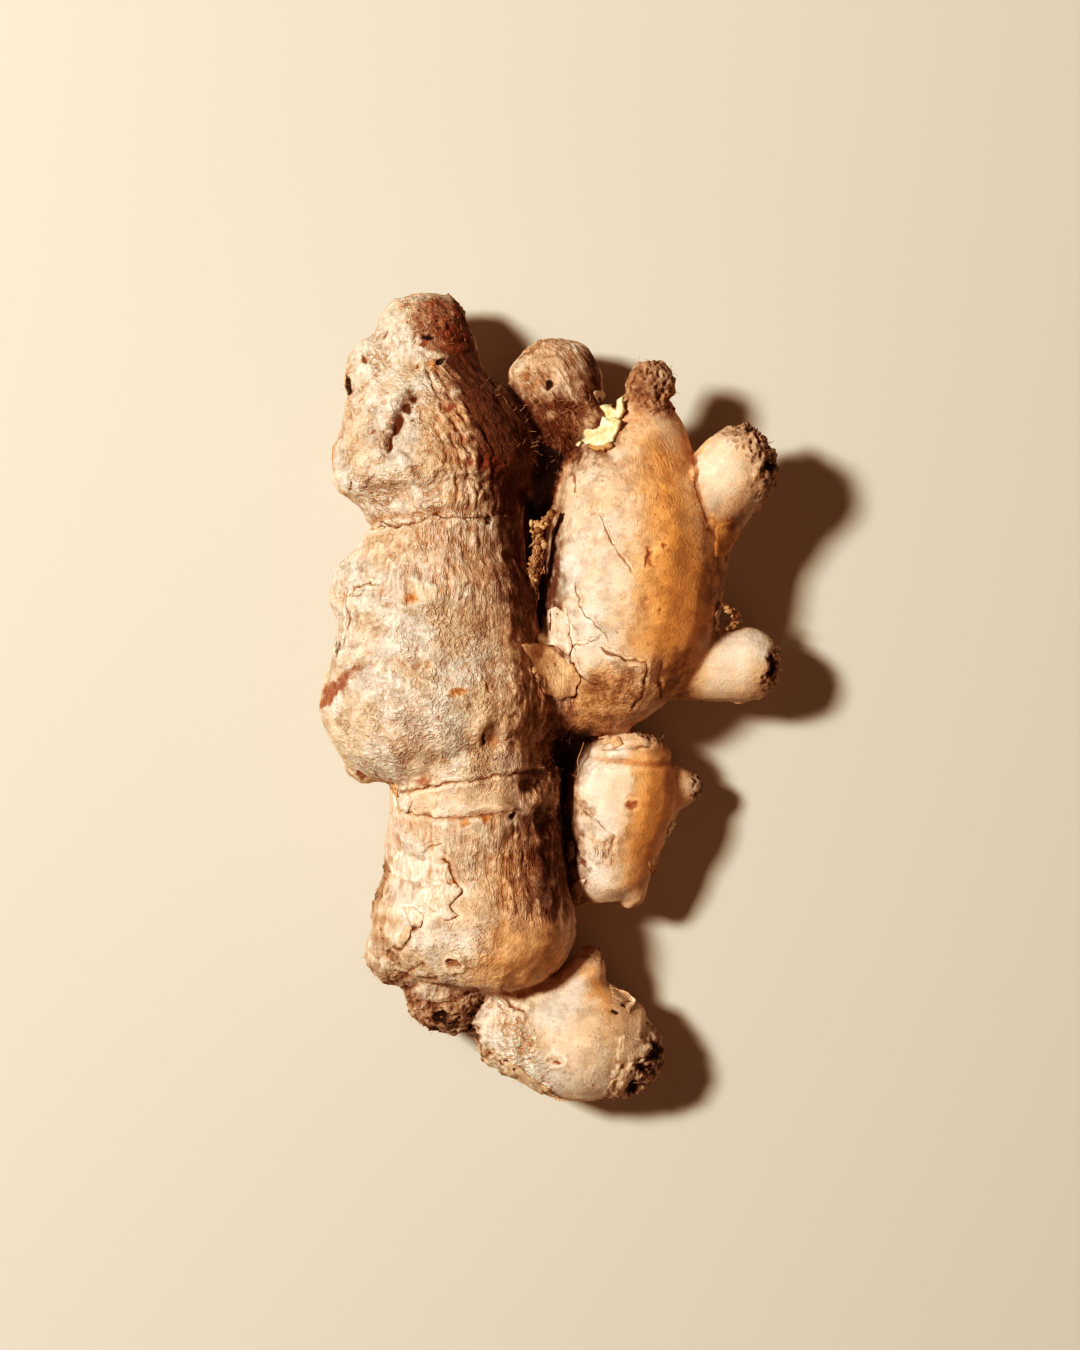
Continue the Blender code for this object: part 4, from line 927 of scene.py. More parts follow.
# %% Pits and scars: centre, half sizes, turn, depth, rim, tint, strength
PITS = {
    "crown_hole": ((428, 339), (1.1, 0.8), 25, 1.1, 0.2, "soot_and_shade", 1.0),
    "crown_hole_low": ((424, 346), (0.9, 0.6), 20, 0.6, 0.1, "rust", 1.0),
    "crown_round_hole": ((442, 363), (0.8, 0.8), 0, 1.0, 0.15, "soot_and_shade", 1.0),
    "crown_bud": ((434, 367), (1.0, 1.6), 15, -0.5, 0.0, "honey_and_shade", 0.8),
    "crown_edge_scar": ((346, 388), (1.2, 2.2), 15, 0.8, 0.4, "soot_and_shade", 1.0),
    "crown_spot_1": ((364, 360), (0.5, 1.0), 15, 0.5, 0.2, "rust", 0.9),
    "crown_spot_2": ((362, 404), (0.5, 0.8), 20, 0.1, 0.0, "rust", 0.6),
    "crown_spot_3": ((409, 307), (1.3, 0.7), 10, 0.25, 0.1, "rust", 0.55),
    "crown_spot_4": ((374, 435), (0.4, 0.6), 0, 0.2, 0.0, "rust", 0.8),
    "crown_spot_5": ((382, 432), (0.3, 0.3), 0, 0.3, 0.0, "soot_and_shade", 0.9),
    "crown_spot_6": ((391, 396), (0.4, 0.3), 0, 0.2, 0.0, "rust", 0.8),
    "crown_spot_7": ((417, 370), (0.5, 0.4), 0, 0.2, 0.1, "rust", 0.9),
    "crown_moss": ((419, 417), (2.4, 3.2), 20, 0.45, 0.0, "dry", 0.35),
    "moss_dot_1": ((414, 411), (0.4, 0.3), 0, 0.2, 0.0, "soot_and_shade", 0.7),
    "moss_dot_2": ((421, 419), (0.5, 0.3), 30, 0.2, 0.0, "soot_and_shade", 0.6),
    "moss_dot_3": ((412, 423), (0.3, 0.5), 0, 0.2, 0.0, "soot_and_shade", 0.6),
    "crown_scar": ((451, 411), (1.5, 0.9), 20, 0.25, 0.15, "rust", 1.0),
    "crown_pit_1": ((470, 465), (0.9, 1.1), 0, 0.4, 0.2, "rust", 0.9),
    "crown_pit_2": ((484, 464), (1.4, 1.3), 0, 0.5, 0.25, "rust", 0.9),
    "crown_pit_3": ((497, 465), (1.0, 1.1), 0, 0.5, 0.2, "rust", 0.9),
    "waist_dot": ((437, 517), (0.8, 0.5), 10, 0.4, 0.1, "rust", 1.0),
    "waist_pit": ((489, 521), (0.6, 0.9), 0, 0.4, 0.1, "soot_and_shade", 0.7),
    "trunk_smear_dark": ((334, 693), (2.8, 1.5), 25, 0.1, 0.0, "rust", 1.0),
    "trunk_smear_mid": ((346, 682), (2.4, 1.2), 40, 0.0, 0.0, "rust", 0.75),
    "trunk_smear_top": ((356, 671), (1.9, 0.7), 25, 0.0, 0.0, "rust", 0.65),
    "trunk_smear_edge": ((326, 702), (1.8, 1.2), 30, 0.1, 0.0, "rust", 1.2),
    "trunk_hatch": ((413, 599), (1.4, 1.2), 0, 0.2, 0.1, "honey_and_shade", 0.8),
    "trunk_edge_spot": ((337, 650), (0.5, 1.6), 0, 0.3, 0.1, "soot_and_shade", 0.8),
    "trunk_pink_1": ((418, 651), (0.5, 0.9), 0, 0.1, 0.0, "rust", 0.5),
    "trunk_pink_2": ((432, 643), (0.8, 0.4), 30, 0.1, 0.0, "rust", 0.4),
    "trunk_round": ((429, 668), (1.1, 0.9), 0, 0.15, 0.12, "honey_and_shade", 0.3),
    "trunk_scar_long": ((461, 693), (2.1, 0.8), 12, 0.25, 0.2, "honey_and_shade", 0.9),
    "trunk_eye_scar": ((493, 737), (2.3, 2.8), 0, 0.35, 0.35, "honey_and_shade", 0.3),
    "trunk_eye_dot": ((486, 741), (0.6, 0.9), 30, 0.4, 0.0, "soot_and_shade", 0.8),
    "trunk_dot": ((440, 719), (0.4, 0.4), 0, 0.2, 0.0, "rust", 0.7),
    "corner_dot": ((362, 777), (0.9, 0.9), 0, 0.35, 0.15, "rust", 0.9),
    "corner_hole": ((392, 789), (0.7, 0.6), 0, 0.6, 0.0, "soot_and_shade", 1.0),
    "ring_bud": ((427, 783), (1.3, 1.3), 0, -0.35, 0.0, "rust", 0.75),
    # Painted shadow in the two deep side hollows.
    "trunk_hollow_painted_shadow": ((533, 783), (2.8, 2.6), 0, 1.3, 0.4, "soot_and_shade", 0.50),
    "heel_hollow_painted_shadow": ((546, 820), (2.9, 3.3), 0, 1.5, 0.6, "soot_and_shade", 0.50),
    "notch_1": ((467, 824), (0.9, 0.9), 30, 0.4, 0.1, "honey_and_shade", 0.9),
    "notch_2": ((487, 821), (0.7, 0.8), 0, 0.4, 0.1, "honey_and_shade", 0.9),
    "notch_3": ((494, 818), (0.6, 0.8), 0, 0.4, 0.1, "rust", 0.7),
    "notch_4": ((514, 817), (0.7, 0.6), 20, 0.6, 0.1, "soot_and_shade", 1.0),
    "heel_dot": ((473, 881), (0.7, 0.6), 0, 0.25, 0.1, "rust", 0.7),
    "heel_round_scar": ((454, 966), (1.3, 1.15), 0, 0.7, 0.7, "rust", 0.55),
    "heel_star": ((442, 1016), (1.7, 1.5), 0, 0.9, 0.4, "soot_and_shade", 0.9),
    "heel_flower": ((418, 998), (1.8, 1.2), 0, 0.1, 0.3, "rust", 0.4),
    "thumb_dent": ((543, 380), (3.6, 3.0), 0, 0.8, 0.2, "soot_and_shade", 0.3),
    "thumb_hole": ((553, 387), (0.8, 0.8), 0, 1.0, 0.1, "soot_and_shade", 1.0),
    "stub_dot": ((631, 415), (0.6, 0.4), 20, 0.3, 0.0, "rust", 0.9),
    "palm_mark_1": ((606, 484), (0.9, 0.4), 0, 0.15, 0.1, "rust", 0.5),
    "palm_mark_2": ((620, 463), (1.0, 0.5), 20, 0.15, 0.1, "rust", 0.4),
    "palm_mark_3": ((595, 516), (0.8, 1.0), 0, 0.1, 0.0, "rust", 0.5),
    "palm_scar": ((663, 553), (2.4, 1.2), 35, -0.6, 0.1, "honey_and_shade", 0.2),
    "palm_scar_edge": ((654, 560), (0.6, 2.2), 12, 0.6, 0.0, "rust", 0.6),
    "palm_scar_dot": ((666, 549), (0.5, 0.4), 0, 0.35, 0.0, "rust", 0.9),
    "palm_bud": ((652, 604), (0.9, 0.9), 0, -0.3, 0.0, "paper", 0.4),
    "palm_bud_ring": ((651, 603), (1.5, 1.4), 0, 0.2, 0.1, "rust", 0.25),
    "palm_bud_side": ((663, 612), (0.4, 0.9), 0, 0.25, 0.0, "rust", 0.7),
    "palm_mark_4": ((627, 597), (0.9, 1.0), 0, 0.12, 0.1, "rust", 0.3),
    "palm_mark_5": ((604, 583), (1.2, 0.4), 15, 0.12, 0.1, "rust", 0.3),
    "low_bud_dot": ((719, 667), (0.4, 0.4), 0, -0.2, 0.0, "paper", 0.4),
    "ring_pink": ((591, 808), (2.0, 0.8), -8, 0.1, 0.0, "rust", 0.35),
    "ring_red": ((636, 807), (1.3, 1.0), 20, 0.2, 0.2, "rust", 0.7),
    "little_scar": ((558, 1061), (1.4, 1.2), 0, 0.2, 0.35, "rust", 0.35),
    "little_scar_dot": ((561, 1063), (0.5, 0.5), 0, 0.35, 0.0, "rust", 0.9),
    "little_dot_1": ((598, 1085), (0.5, 0.5), 0, 0.25, 0.0, "rust", 0.8),
    "little_dot_2": ((621, 1061), (0.5, 0.4), 0, 0.3, 0.0, "rust", 0.9),
    "little_valley_dot": ((618, 1013), (0.7, 0.6), 0, 0.4, 0.0, "soot_and_shade", 0.8),
    "little_hole_1": ((655, 1053), (1.8, 1.6), 30, 1.1, 0.3, "soot_and_shade", 1.0),
    "little_hole_2": ((647, 1068), (1.2, 1.2), 0, 0.9, 0.3, "soot_and_shade", 1.0),
    "little_hole_3": ((636, 1085), (1.9, 1.2), 35, 1.0, 0.3, "soot_and_shade", 1.0),
    "little_hole_4": ((611, 1100), (1.4, 0.7), 25, 0.7, 0.2, "soot_and_shade", 1.0),
    "little_slot": ((514, 1065), (1.9, 0.7), -25, 1.0, 0.2, "soot_and_shade", 0.95),
    "little_hole_edge": ((629, 1007), (1.0, 0.7), 0, 0.9, 0.0, "soot_and_shade", 1.0),
    "bud_high_hole_1": ((756, 435), (1.5, 1.0), 10, 1.0, 0.3, "soot_and_shade", 1.0),
    "bud_high_hole_2": ((775, 466), (1.2, 1.7), 0, 1.1, 0.3, "soot_and_shade", 1.0),
    "bud_low_tip": ((776, 668), (0.9, 2.6), 8, 0.9, 0.2, "soot_and_shade", 1.0),
}
RIM_AT = 1.35  # of the way from a pit's centre to its edge
ROOT_SCARS = 9.0  # mm between the scars below

for centre, half_sizes, degrees, depth, rim, name, strength in PITS.values():
    at = near_marks([centre], 5.0 + 2.0 * max(half_sizes) / PIXEL)
    reach = ellipse_reach(pixel[at] + 1.5 * wander[at], centre, half_sizes, degrees)
    dip = smooth_step(1.2, 0.3, reach)
    relief[at] += seen[at] * (0.6 * rim * bell(reach - RIM_AT, 0.4) - 0.7 * depth * dip)
    stain(name, strength * smooth_step(1.3, 0.55, reach), at)
    stain("rust", 0.5 * strength * smooth_step(1.8, 0.9, reach), at)
# On the side that no camera saw, round scars show where roots grew.
near, _ = cells_at(place, ROOT_SCARS, 51)
root_scar = hidden * smooth_step(0.17, 0.10, near)
scar_rim = hidden * bell(near - 0.19, 0.035)
relief += 0.30 * scar_rim - 0.55 * root_scar
raise_tint("rust", 0.9 * root_scar, slice(None))
print("pits drawn:", len(PITS))

# %% Pale dead skin on the surface: outline, thickness, strength; no thickness is a pale glow, and on the two buds that glow is painted light
DEAD_SKIN = {
    "heel_sheet": ([(423, 883), (445, 883), (459, 887), (462, 893), (457, 898), (451, 905), (453, 913),
                    (458, 919), (445, 919), (431, 910), (423, 898)], 0.12, 1.0),
    "heel_sheet_high": ([(390, 862), (402, 852), (424, 862), (450, 868), (454, 880), (420, 884), (396, 878)],
                        0.08, 0.75),
    "heel_sheet_low": ([(404, 907), (414, 905), (424, 913), (421, 924), (412, 926), (404, 918)], 0.10, 0.95),
    "heel_tab": ([(396, 793), (408, 794), (413, 803), (408, 811), (399, 808)], 0.25, 1.0),
    "ring_sheet": ([(600, 770), (634, 771), (638, 781), (629, 802), (632, 822), (629, 839), (611, 835),
                    (595, 820), (601, 809), (585, 802), (590, 784)], 0.05, 0.42),
    "palm_glow": ([(614, 566), (634, 566), (636, 590), (620, 600), (610, 588)], 0.0, 0.7),
    "palm_glow_low": ([(582, 646), (604, 646), (606, 664), (586, 668)], 0.0, 0.8),
    "bud_high_sheet": ([(706, 464), (718, 464), (724, 471), (718, 477), (708, 476)], 0.04, 0.7),
    "little_torn": ([(497, 993), (505, 1002), (516, 1010), (526, 1016), (528, 1032), (529, 1051), (521, 1059),
                     (497, 1055), (483, 1051), (482, 1024), (487, 1005)], 0.14, 0.5),
    "little_hem": ([(482, 1050), (530, 1058), (552, 1088), (566, 1104), (540, 1106), (500, 1085),
                    (478, 1062)], 0.20, 0.35),
    "little_end": ([(624, 1034), (648, 1044), (664, 1060), (658, 1090), (620, 1108), (604, 1100),
                    (618, 1070)], 0.20, 0.25),
    # Painted light on the next two: the buds are lightened, as the light reaches them at a low angle.
    "bud_high_painted_light": ([(708, 450), (735, 445), (752, 470), (735, 505), (712, 510)], 0.0, 0.7),
    "bud_low_painted_light": ([(708, 645), (740, 636), (762, 655), (758, 690), (712, 692)], 0.0, 0.7),
    "crown_left": ([(352, 330), (405, 296), (428, 305), (420, 350), (390, 380), (352, 400), (342, 370)],
                   0.0, 0.35),
    "trunk_shoulder": ([(322, 560), (345, 552), (350, 600), (345, 650), (326, 640)], 0.0, 0.35),
}
SHEET_REACH = 1.2  # mm inside and outside a sheet's edge that the material is told of

sheet_depth = np.full(len(place), -SHEET_REACH)
for outline, thickness, strength in DEAD_SKIN.values():
    at = near_marks(outline, 20.0)
    inside = depth_inside(outline, ragged[at] + 0.8 * wander[at])
    if thickness:
        cover = smooth_step(-0.2, 0.25, inside)
        edge = bell(inside - 0.5, 0.4)
        relief[at] += seen[at] * thickness * cover * (1.0 + 0.6 * edge)
        sheet_depth[at] = np.maximum(sheet_depth[at], np.clip(inside, -SHEET_REACH, SHEET_REACH))
        stain("paper", strength * smooth_step(-1.4, -1.0, inside), at)
    else:
        stain("paper", strength * smooth_step(-2.5, 2.5, inside), at)
        covered = np.where(inside > -2.5, SHEET_REACH, -SHEET_REACH)
        sheet_depth[at] = np.maximum(sheet_depth[at], covered)
print("sheets of dead skin:", len(DEAD_SKIN))

# %% [markdown]
# ## Crusts
# Where a shoot or a root broke off, the wound dried to a crust: a net of hard ridges round dark
# holes. A crust wraps round its tip, so it is placed by its distance in space and not on the picture.

# %% Crusts: pixel and height of the centre, reach, ridges, lumps, soot, rust
CRUSTS = {
    "crown_tip": ((446, 322), 24.0, 7.6, 0.12, 0.55, 0.10, 0.80),
    "crown_tip_side": ((474, 318), 13.0, 7.5, 0.40, 0.50, 0.75, 0.30),
    "stub": ((659, 384), 23.0, 6.4, 0.50, 0.50, 0.45, 0.35),
    "bud_high_tip": ((776, 462), 18.0, 10.6, 0.60, 0.65, 0.60, 0.30),
    "bud_high_top": ((754, 434), 23.0, 5.8, 0.50, 0.55, 0.50, 0.30),
    "bud_low_tip": ((780, 672), 15.0, 6.2, 0.40, 0.40, 0.60, 0.35),
    "low_bud_wart": ((668, 686), 17.0, 2.2, 0.45, 0.40, 0.20, 0.55),
    "ring_top": ((648, 742), 14.0, 4.4, 0.35, 0.30, 0.20, 0.35),
    "ring_bud_tip": ((704, 788), 10.0, 3.4, 0.35, 0.30, 0.75, 0.20),
    "ring_end_tip": ((637, 908), 12.0, 2.2, 0.25, 0.25, 0.40, 0.40),
    "ring_low_left": ((582, 862), 14.0, 3.4, 0.35, 0.40, 0.10, 0.15),
    "heel_knob": ((455, 1016), 12.0, 9.5, 0.50, 0.65, 0.65, 0.35),
    "heel_side": ((383, 890), 17.0, 6.4, 0.35, 0.50, 0.50, 0.40),
    "heel_corner": ((388, 990), 15.0, 8.5, 0.25, 0.45, 0.20, 0.30),
    "little_end": ((652, 1066), 12.0, 8.6, 0.60, 0.65, 0.55, 0.25),
    "little_end_low": ((622, 1092), 9.0, 6.8, 0.50, 0.55, 0.50, 0.30),
    "little_hem": ((520, 1082), 8.0, 6.4, 0.35, 0.50, 0.40, 0.30),
    "little_left": ((486, 1036), 11.0, 6.5, 0.30, 0.45, 0.15, 0.25),
    "little_bud_tip": ((596, 953), 15.0, 2.4, 0.25, 0.25, 0.10, 0.50),
    "trunk_cut": ((560, 760), 20.0, 6.5, 0.40, 0.50, 0.60, 0.40),
    "crown_edge": ((346, 388), 20.0, 2.6, 0.35, 0.40, 0.80, 0.30),
}
reach_noise = 1.3 * noise_at(place, 2.8, 43) + 0.5 * noise_at(place, 0.9, 45)
crust_lumps = 0.9 * rough_noise(place + 0.5 * bend, 2.2, 42, 3)
sooty = smooth_step(-0.3, 0.6, noise_at(place, 2.2, 44))
for spot, height, reach, ridges, lumps, soot_and_shade, rust in CRUSTS.values():
    centre = under_pixel(spot, height)
    far = np.linalg.norm(place - centre, axis=1)
    at = np.flatnonzero(far < 1.5 * reach + 2.0)
    cover = smooth_step(1.15 * reach, 0.72 * reach, far[at] + reach_noise[at])
    near, second = cells_at(place[at] + 0.35 * bend[at], (1.15, 1.5, 1.15), 41)
    holes = smooth_step(0.5, 0.1, near)
    net = smooth_step(0.4, 0.05, second - near)
    relief[at] += cover * (ridges * (0.8 * net - 0.8 * holes) + lumps * crust_lumps[at])
    raise_tint("crust", cover, at)
    raise_tint("soot_and_shade", cover * (soot_and_shade * np.maximum(sooty[at], 0.9 * holes)), at)
    raise_tint("rust", cover * rust * (0.6 + 0.4 * sooty[at]), at)
    raise_tint("hairy", 0.35 * cover, at)
print("crusts:", len(CRUSTS))

# %% [markdown]
# ## Painted shade in the clefts
# Little light reaches where limbs meet, so the clefts are painted near-black as shade, darker lower down. The
# darkest places are the two clefts between the trunk and its fingers.

# %% Painted shade in the clefts: outline, softness, height under which it is dark, strength
CLEFT_SHADE = {
    "palm_cleft": ([(536, 440), (568, 455), (553, 500), (542, 540), (543, 596), (534, 628), (526, 610),
                    (532, 520)], 1.0, 26.0, 1.0),
    "thumb_cleft": ([(486, 372), (512, 380), (532, 440), (548, 470), (530, 470), (505, 420)], 1.6, 25.0, 0.9),
    "stub_cleft": ([(570, 458), (592, 446), (584, 436), (570, 440)], 1.2, 22.0, 0.9),
    "ring_cleft": ([(560, 705), (600, 728), (592, 745), (578, 770), (567, 830), (572, 880), (552, 860),
                    (548, 790), (556, 740)], 1.8, 24.0, 1.0),
    "little_cleft": ([(452, 1000), (480, 994), (498, 992), (486, 1010), (478, 1030), (460, 1028)],
                     1.4, 18.0, 1.0),
    "little_line": ([(498, 986), (540, 974), (546, 978), (504, 992)], 0.8, 20.0, 0.8),
}
for outline, soft, top, strength in CLEFT_SHADE.values():
    at = near_marks(outline, 4.0 * soft / PIXEL)
    inside = smooth_step(-soft, soft, depth_inside(outline, ragged[at]))
    low = smooth_step(top, top - 7.0, place[at, 2])
    # Painted shade: near-black in the cleft, darker towards the floor.
    raise_tint("soot_and_shade", strength * inside * low, at)
print("clefts:", len(CLEFT_SHADE))

# %% Move the skin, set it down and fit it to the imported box
FOOT_TOP = 8.0  # only what is lower than this is drawn down to the floor

relief *= smooth_step(-1.1, -0.75, outward[:, 2]) * 0.5 + 0.5  # the underside keeps half of it
points = place + outward * relief[:, None]
for x, y in FEET:
    away = np.hypot(points[:, 0] - x, points[:, 1] - y)
    under = (points[:, 2] < FOOT_TOP) & (away < 2 * FOOT_REACH)
    lowest = points[under & (away < FOOT_REACH), 2].min()
    sag = (lowest + FOOT_SINK) * bell(away, FOOT_REACH)
    points[under, 2] -= sag[under]
points[:, 2] = np.maximum(points[:, 2], 0.0)
box_low = np.array(cad_low) / MM
box_high = np.array(cad_high) / MM
grown = points.max(axis=0) - points.min(axis=0)
print("skin before fitting, mm:", grown.round(2), "packed:", (box_high - box_low).round(2))
fit = np.minimum(1.0, (box_high - box_low) / grown)
centre_now = (points.max(axis=0) + points.min(axis=0)) / 2
centre_box = (box_low + box_high) / 2
points[:, :2] = (points[:, :2] - centre_now[:2]) * fit[:2] + centre_box[:2]
points[:, 2] *= fit[2]
skin_mesh.vertices.foreach_set("co", (points * MM).ravel())
skin_mesh.update()

# %% [markdown]
# ## Hollows and ridges
# Hollows get painted shade and ridges come out a little lighter. How hollow a point is comes from comparing
# it with the average of the skin round it, over a narrow and a wide reach.

# %% Cavity: rounds of averaging, the depth in mm that counts as full, weight
REACHES = {"narrow": (4, 0.05, 0.6), "wide": (30, 0.35, 0.4)}

outward = array_of(skin_mesh.vertex_normals, "vector", 3)
cavity = np.zeros(len(points))
for rounds, full, weight in REACHES.values():
    hollow = ((neighbour_average(points, rounds) - points) * outward).sum(1)
    cavity += np.clip(hollow / full, -1.0, 1.0) * weight
print("cavity from", cavity.min().round(2), "to", cavity.max().round(2))

# %% Keep the tints as attributes and thin the mesh
MOST_TRIANGLES = 196000


def keep(mesh, name, values, kind="FLOAT", field="value"):
    """Stores one number, or one vector, for each point of a mesh."""
    layer = mesh.attributes.new(name, kind, "POINT")
    layer.data.foreach_set(field, np.ascontiguousarray(values, np.float32).ravel())


for name, values in tint.items():
    keep(skin_mesh, name, np.clip(values, 0.0, 1.5))
keep(skin_mesh, "cavity", cavity)
keep(skin_mesh, "crack_side", crack_side)
keep(skin_mesh, "sheet_depth", sheet_depth)
keep(skin_mesh, "grain", grain * MM, "FLOAT_VECTOR", "vector")

rhizome = add("ginger_rhizome", skin_mesh)
thin = rhizome.modifiers.new("thin", "DECIMATE")
thin.ratio = min(1.0, MOST_TRIANGLES / (2 * len(skin_mesh.polygons)))
thin.use_collapse_triangulate = True
finished = apply_modifiers(rhizome)
finished.shade_smooth()
print("triangles in the skin:", len(finished.polygons))

# %% [markdown]
# ## Materials
# Ginger skin is mottled from cream to tan, freckled with brown, and darker where it is old and dried out;
# some of its brown layers also carry painted shade on the sides turned from the light.
# Two node groups make it: `mottle` gives the blotched colour, and `grain` gives the fine relief with
# the lines in its furrows. The masks made above then lay scars, near-black marks, painted shade and dead skin
# over them.
# Painted shade, a warm brown multiplied into the colour, fills the furrows and their dark lines, and the
# hollows, and ridges come out a little lighter.

# %% Node helpers


def node(tree, kind, inputs=(), **settings):
    """A node with its settings, and each input set to a value or linked to a socket."""
    made = tree.nodes.new(kind)
    for key, value in settings.items():
        setattr(made, key, value)
    for key, value in dict(inputs).items():
        if isinstance(value, bpy.types.NodeSocket):
            tree.links.new(value, made.inputs[key])
        else:
            made.inputs[key].default_value = value
    return made


def maths(tree, operation, first, second=0.0, third=0.0, clamp=False):
    """One sum on one or two or three numbers or sockets."""
    inputs = {0: first, 1: second, 2: third}
    return node(tree, "ShaderNodeMath", inputs, operation=operation, use_clamp=clamp).outputs[0]


def times(tree, first, second):
    """Two numbers or sockets multiplied."""
    return maths(tree, "MULTIPLY", first, second)


def mixed(tree, factor, first, second, blend="MIX"):
    """Two colours mixed by a factor."""
    inputs = {0: factor, 6: first, 7: second}
    return node(tree, "ShaderNodeMix", inputs, data_type="RGBA", blend_type=blend).outputs[2]


def noise_texture(tree, coordinates, spacing_mm, detail, roughness=0.55):
    """Noise with lumps about spacing_mm apart, from 0 to 1."""
    inputs = {"Vector": coordinates, "Scale": 1.0 / (spacing_mm * MM), "Detail": detail,
              "Roughness": roughness}
    return node(tree, "ShaderNodeTexNoise", inputs).outputs[0]


def stepped(tree, value, low, high):
    """A value brought to 0 at low and 1 at high, softly; low may be the larger one."""
    inputs = {"Value": value, "From Min": low, "From Max": high}
    return node(tree, "ShaderNodeMapRange", inputs, interpolation_type="SMOOTHSTEP").outputs[0]


def patches(tree, coordinates, spacing_mm, detail, roughness, low, high):
    """Noise with its low values brought to 0 and its high values to 1."""
    return stepped(tree, noise_texture(tree, coordinates, spacing_mm, detail, roughness), low, high)


def thread_lines(tree, coordinates, spacing_mm, thickness):
    """Thin winding lines, 1 on the line, where noise passes through its middle value."""
    value = noise_texture(tree, coordinates, spacing_mm, 3.0, 0.6)
    away = maths(tree, "ABSOLUTE", maths(tree, "SUBTRACT", value, 0.5))
    return stepped(tree, away, thickness, 0.0)


def new_group(name, kind, outputs, **given):
    """A node tree with named outputs and given inputs (kind and value), and what those give."""
    group = bpy.data.node_groups.new(name, kind)
    for label, (socket_kind, *value) in given.items():
        made = group.interface.new_socket(name=label.replace("_", " "), in_out="INPUT",
                                          socket_type="NodeSocket" + socket_kind)
        if value:
            made.default_value = value[0]
    for label, socket_kind in outputs.items():
        group.interface.new_socket(name=label, in_out="OUTPUT", socket_type="NodeSocket" + socket_kind)
    return group, group.nodes.new("NodeGroupInput").outputs


def end_group(group, results):
    """Links the results of a node tree to its outputs."""
    end = group.nodes.new("NodeGroupOutput")
    for label, value in results.items():
        group.links.new(value, end.inputs[label])
    return group


# %% Mottle group
BLOTCHES = [  # spacing in mm, detail, roughness, where it starts and is full, strength, colour
    (9.0, 5.0, 0.55, 0.40, 0.62, 0.75, "Tan"),
    (15.0, 3.0, 0.55, 0.50, 0.68, 0.4, "Blush"),
    (2.3, 6.0, 0.65, 0.46, 0.66, 0.15, "Tan"),
]
FRECKLE_STRENGTH = 0.8


def mottle_group():
    """Blotches of pale and tan with brown freckles, on Object coordinates."""
    group, given = new_group(
        "mottle", "ShaderNodeTree", {"Colour": "Color"}, Vector=("Vector",),
        Pale=("Color", (0.80, 0.68, 0.56, 1.0)), Tan=("Color", (0.76, 0.54, 0.365, 1.0)),
        Blush=("Color", (0.79, 0.53, 0.375, 1.0)), Freckle=("Color", (0.20, 0.075, 0.03, 1.0)),
        Freckles=("Float", 0.5))
    colour = given["Pale"]
    for *noise, strength, name in BLOTCHES:
        blotch = patches(group, given["Vector"], *noise)
        colour = mixed(group, times(group, blotch, strength), colour, given[name])
    speck = times(group, patches(group, given["Vector"], 0.75, 3.0, 0.7, 0.60, 0.68), given["Freckles"])
    colour = mixed(group, times(group, speck, FRECKLE_STRENGTH), colour, given["Freckle"])
    return end_group(group, {"Colour": colour})


# %% Grain group
THREADS = (1.3, 0.14)  # spacing in mm and thickness of the lines along the fibres
HAIRLINES = (0.75, 0.14)
NET = (1.5, 0.13)  # and of the net between pebbles


def grain_group():
    """Fine relief of furrows along the fibres and between pebbles, and the dark line in each."""
    group, given = new_group(
        "grain", "ShaderNodeTree", {"Height": "Float", "Lines": "Float"}, Vector=("Vector",),
        Along=("Vector",), Wrinkle=("Float", 0.5), Pebble=("Float", 0.5))
    where = given["Vector"]
    inputs = {"Vector": given["Along"], "Scale": (1.0, 0.2, 1.0)}
    stretch = node(group, "ShaderNodeMapping", inputs).outputs[0]
    hairlines = times(group, thread_lines(group, stretch, *HAIRLINES), 0.5)
    threads = maths(group, "MAXIMUM", thread_lines(group, stretch, *THREADS), hairlines)
    lines = times(group, threads, given["Wrinkle"])
    net = times(group, thread_lines(group, where, *NET), given["Pebble"])
    lines = maths(group, "MAXIMUM", lines, net)
    patchy = patches(group, where, 5.0, 2.0, 0.55, 0.40, 0.60)
    lines = maths(group, "MULTIPLY", lines, maths(group, "MULTIPLY_ADD", patchy, 0.7, 0.3), clamp=True)
    coarse = noise_texture(group, where, 0.70, 4.0, 0.65)
    height = times(group, coarse, maths(group, "ADD", given["Pebble"], 0.40))
    height = maths(group, "MULTIPLY_ADD", noise_texture(group, where, 0.28, 2.0), 0.35, height)
    height = maths(group, "MULTIPLY_ADD", lines, -1.0, height)
    return end_group(group, {"Height": height, "Lines": maths(group, "POWER", lines, 4.0)})


MOTTLE = mottle_group()
GRAIN = grain_group()
print("node groups:", MOTTLE.name, GRAIN.name)

# %% Tools for materials


def new_material(name, roughness, specular):
    """A material with its node tree, its shader and its Object coordinates."""
    made = bpy.data.materials.new(name)
    made.use_nodes = True
    tree = made.node_tree
    shader = tree.nodes["Principled BSDF"]
    shader.inputs["Roughness"].default_value = roughness
    shader.inputs["Specular IOR Level"].default_value = specular
    where = tree.nodes.new("ShaderNodeTexCoord").outputs["Object"]
    return made, tree, shader, where


def mask(tree, name, output="Fac"):
    """An attribute of the mesh as a socket."""
    return node(tree, "ShaderNodeAttribute", attribute_name=name).outputs[output]


def bumped(tree, shader, height, depth_mm):
    """Gives a shader fine relief from a height of about 0 to 1."""
    inputs = {"Height": height, "Strength": 1.0, "Distance": depth_mm * MM}
    tree.links.new(node(tree, "ShaderNodeBump", inputs).outputs[0], shader.inputs["Normal"])


def let_light_in(shader, weight, reach_mm):
    """Lets light into the surface, as far as reach_mm tells for red, green and blue."""
    shader.inputs["Subsurface Weight"].default_value = weight
    shader.inputs["Subsurface Radius"].default_value = [reach * MM for reach in reach_mm]


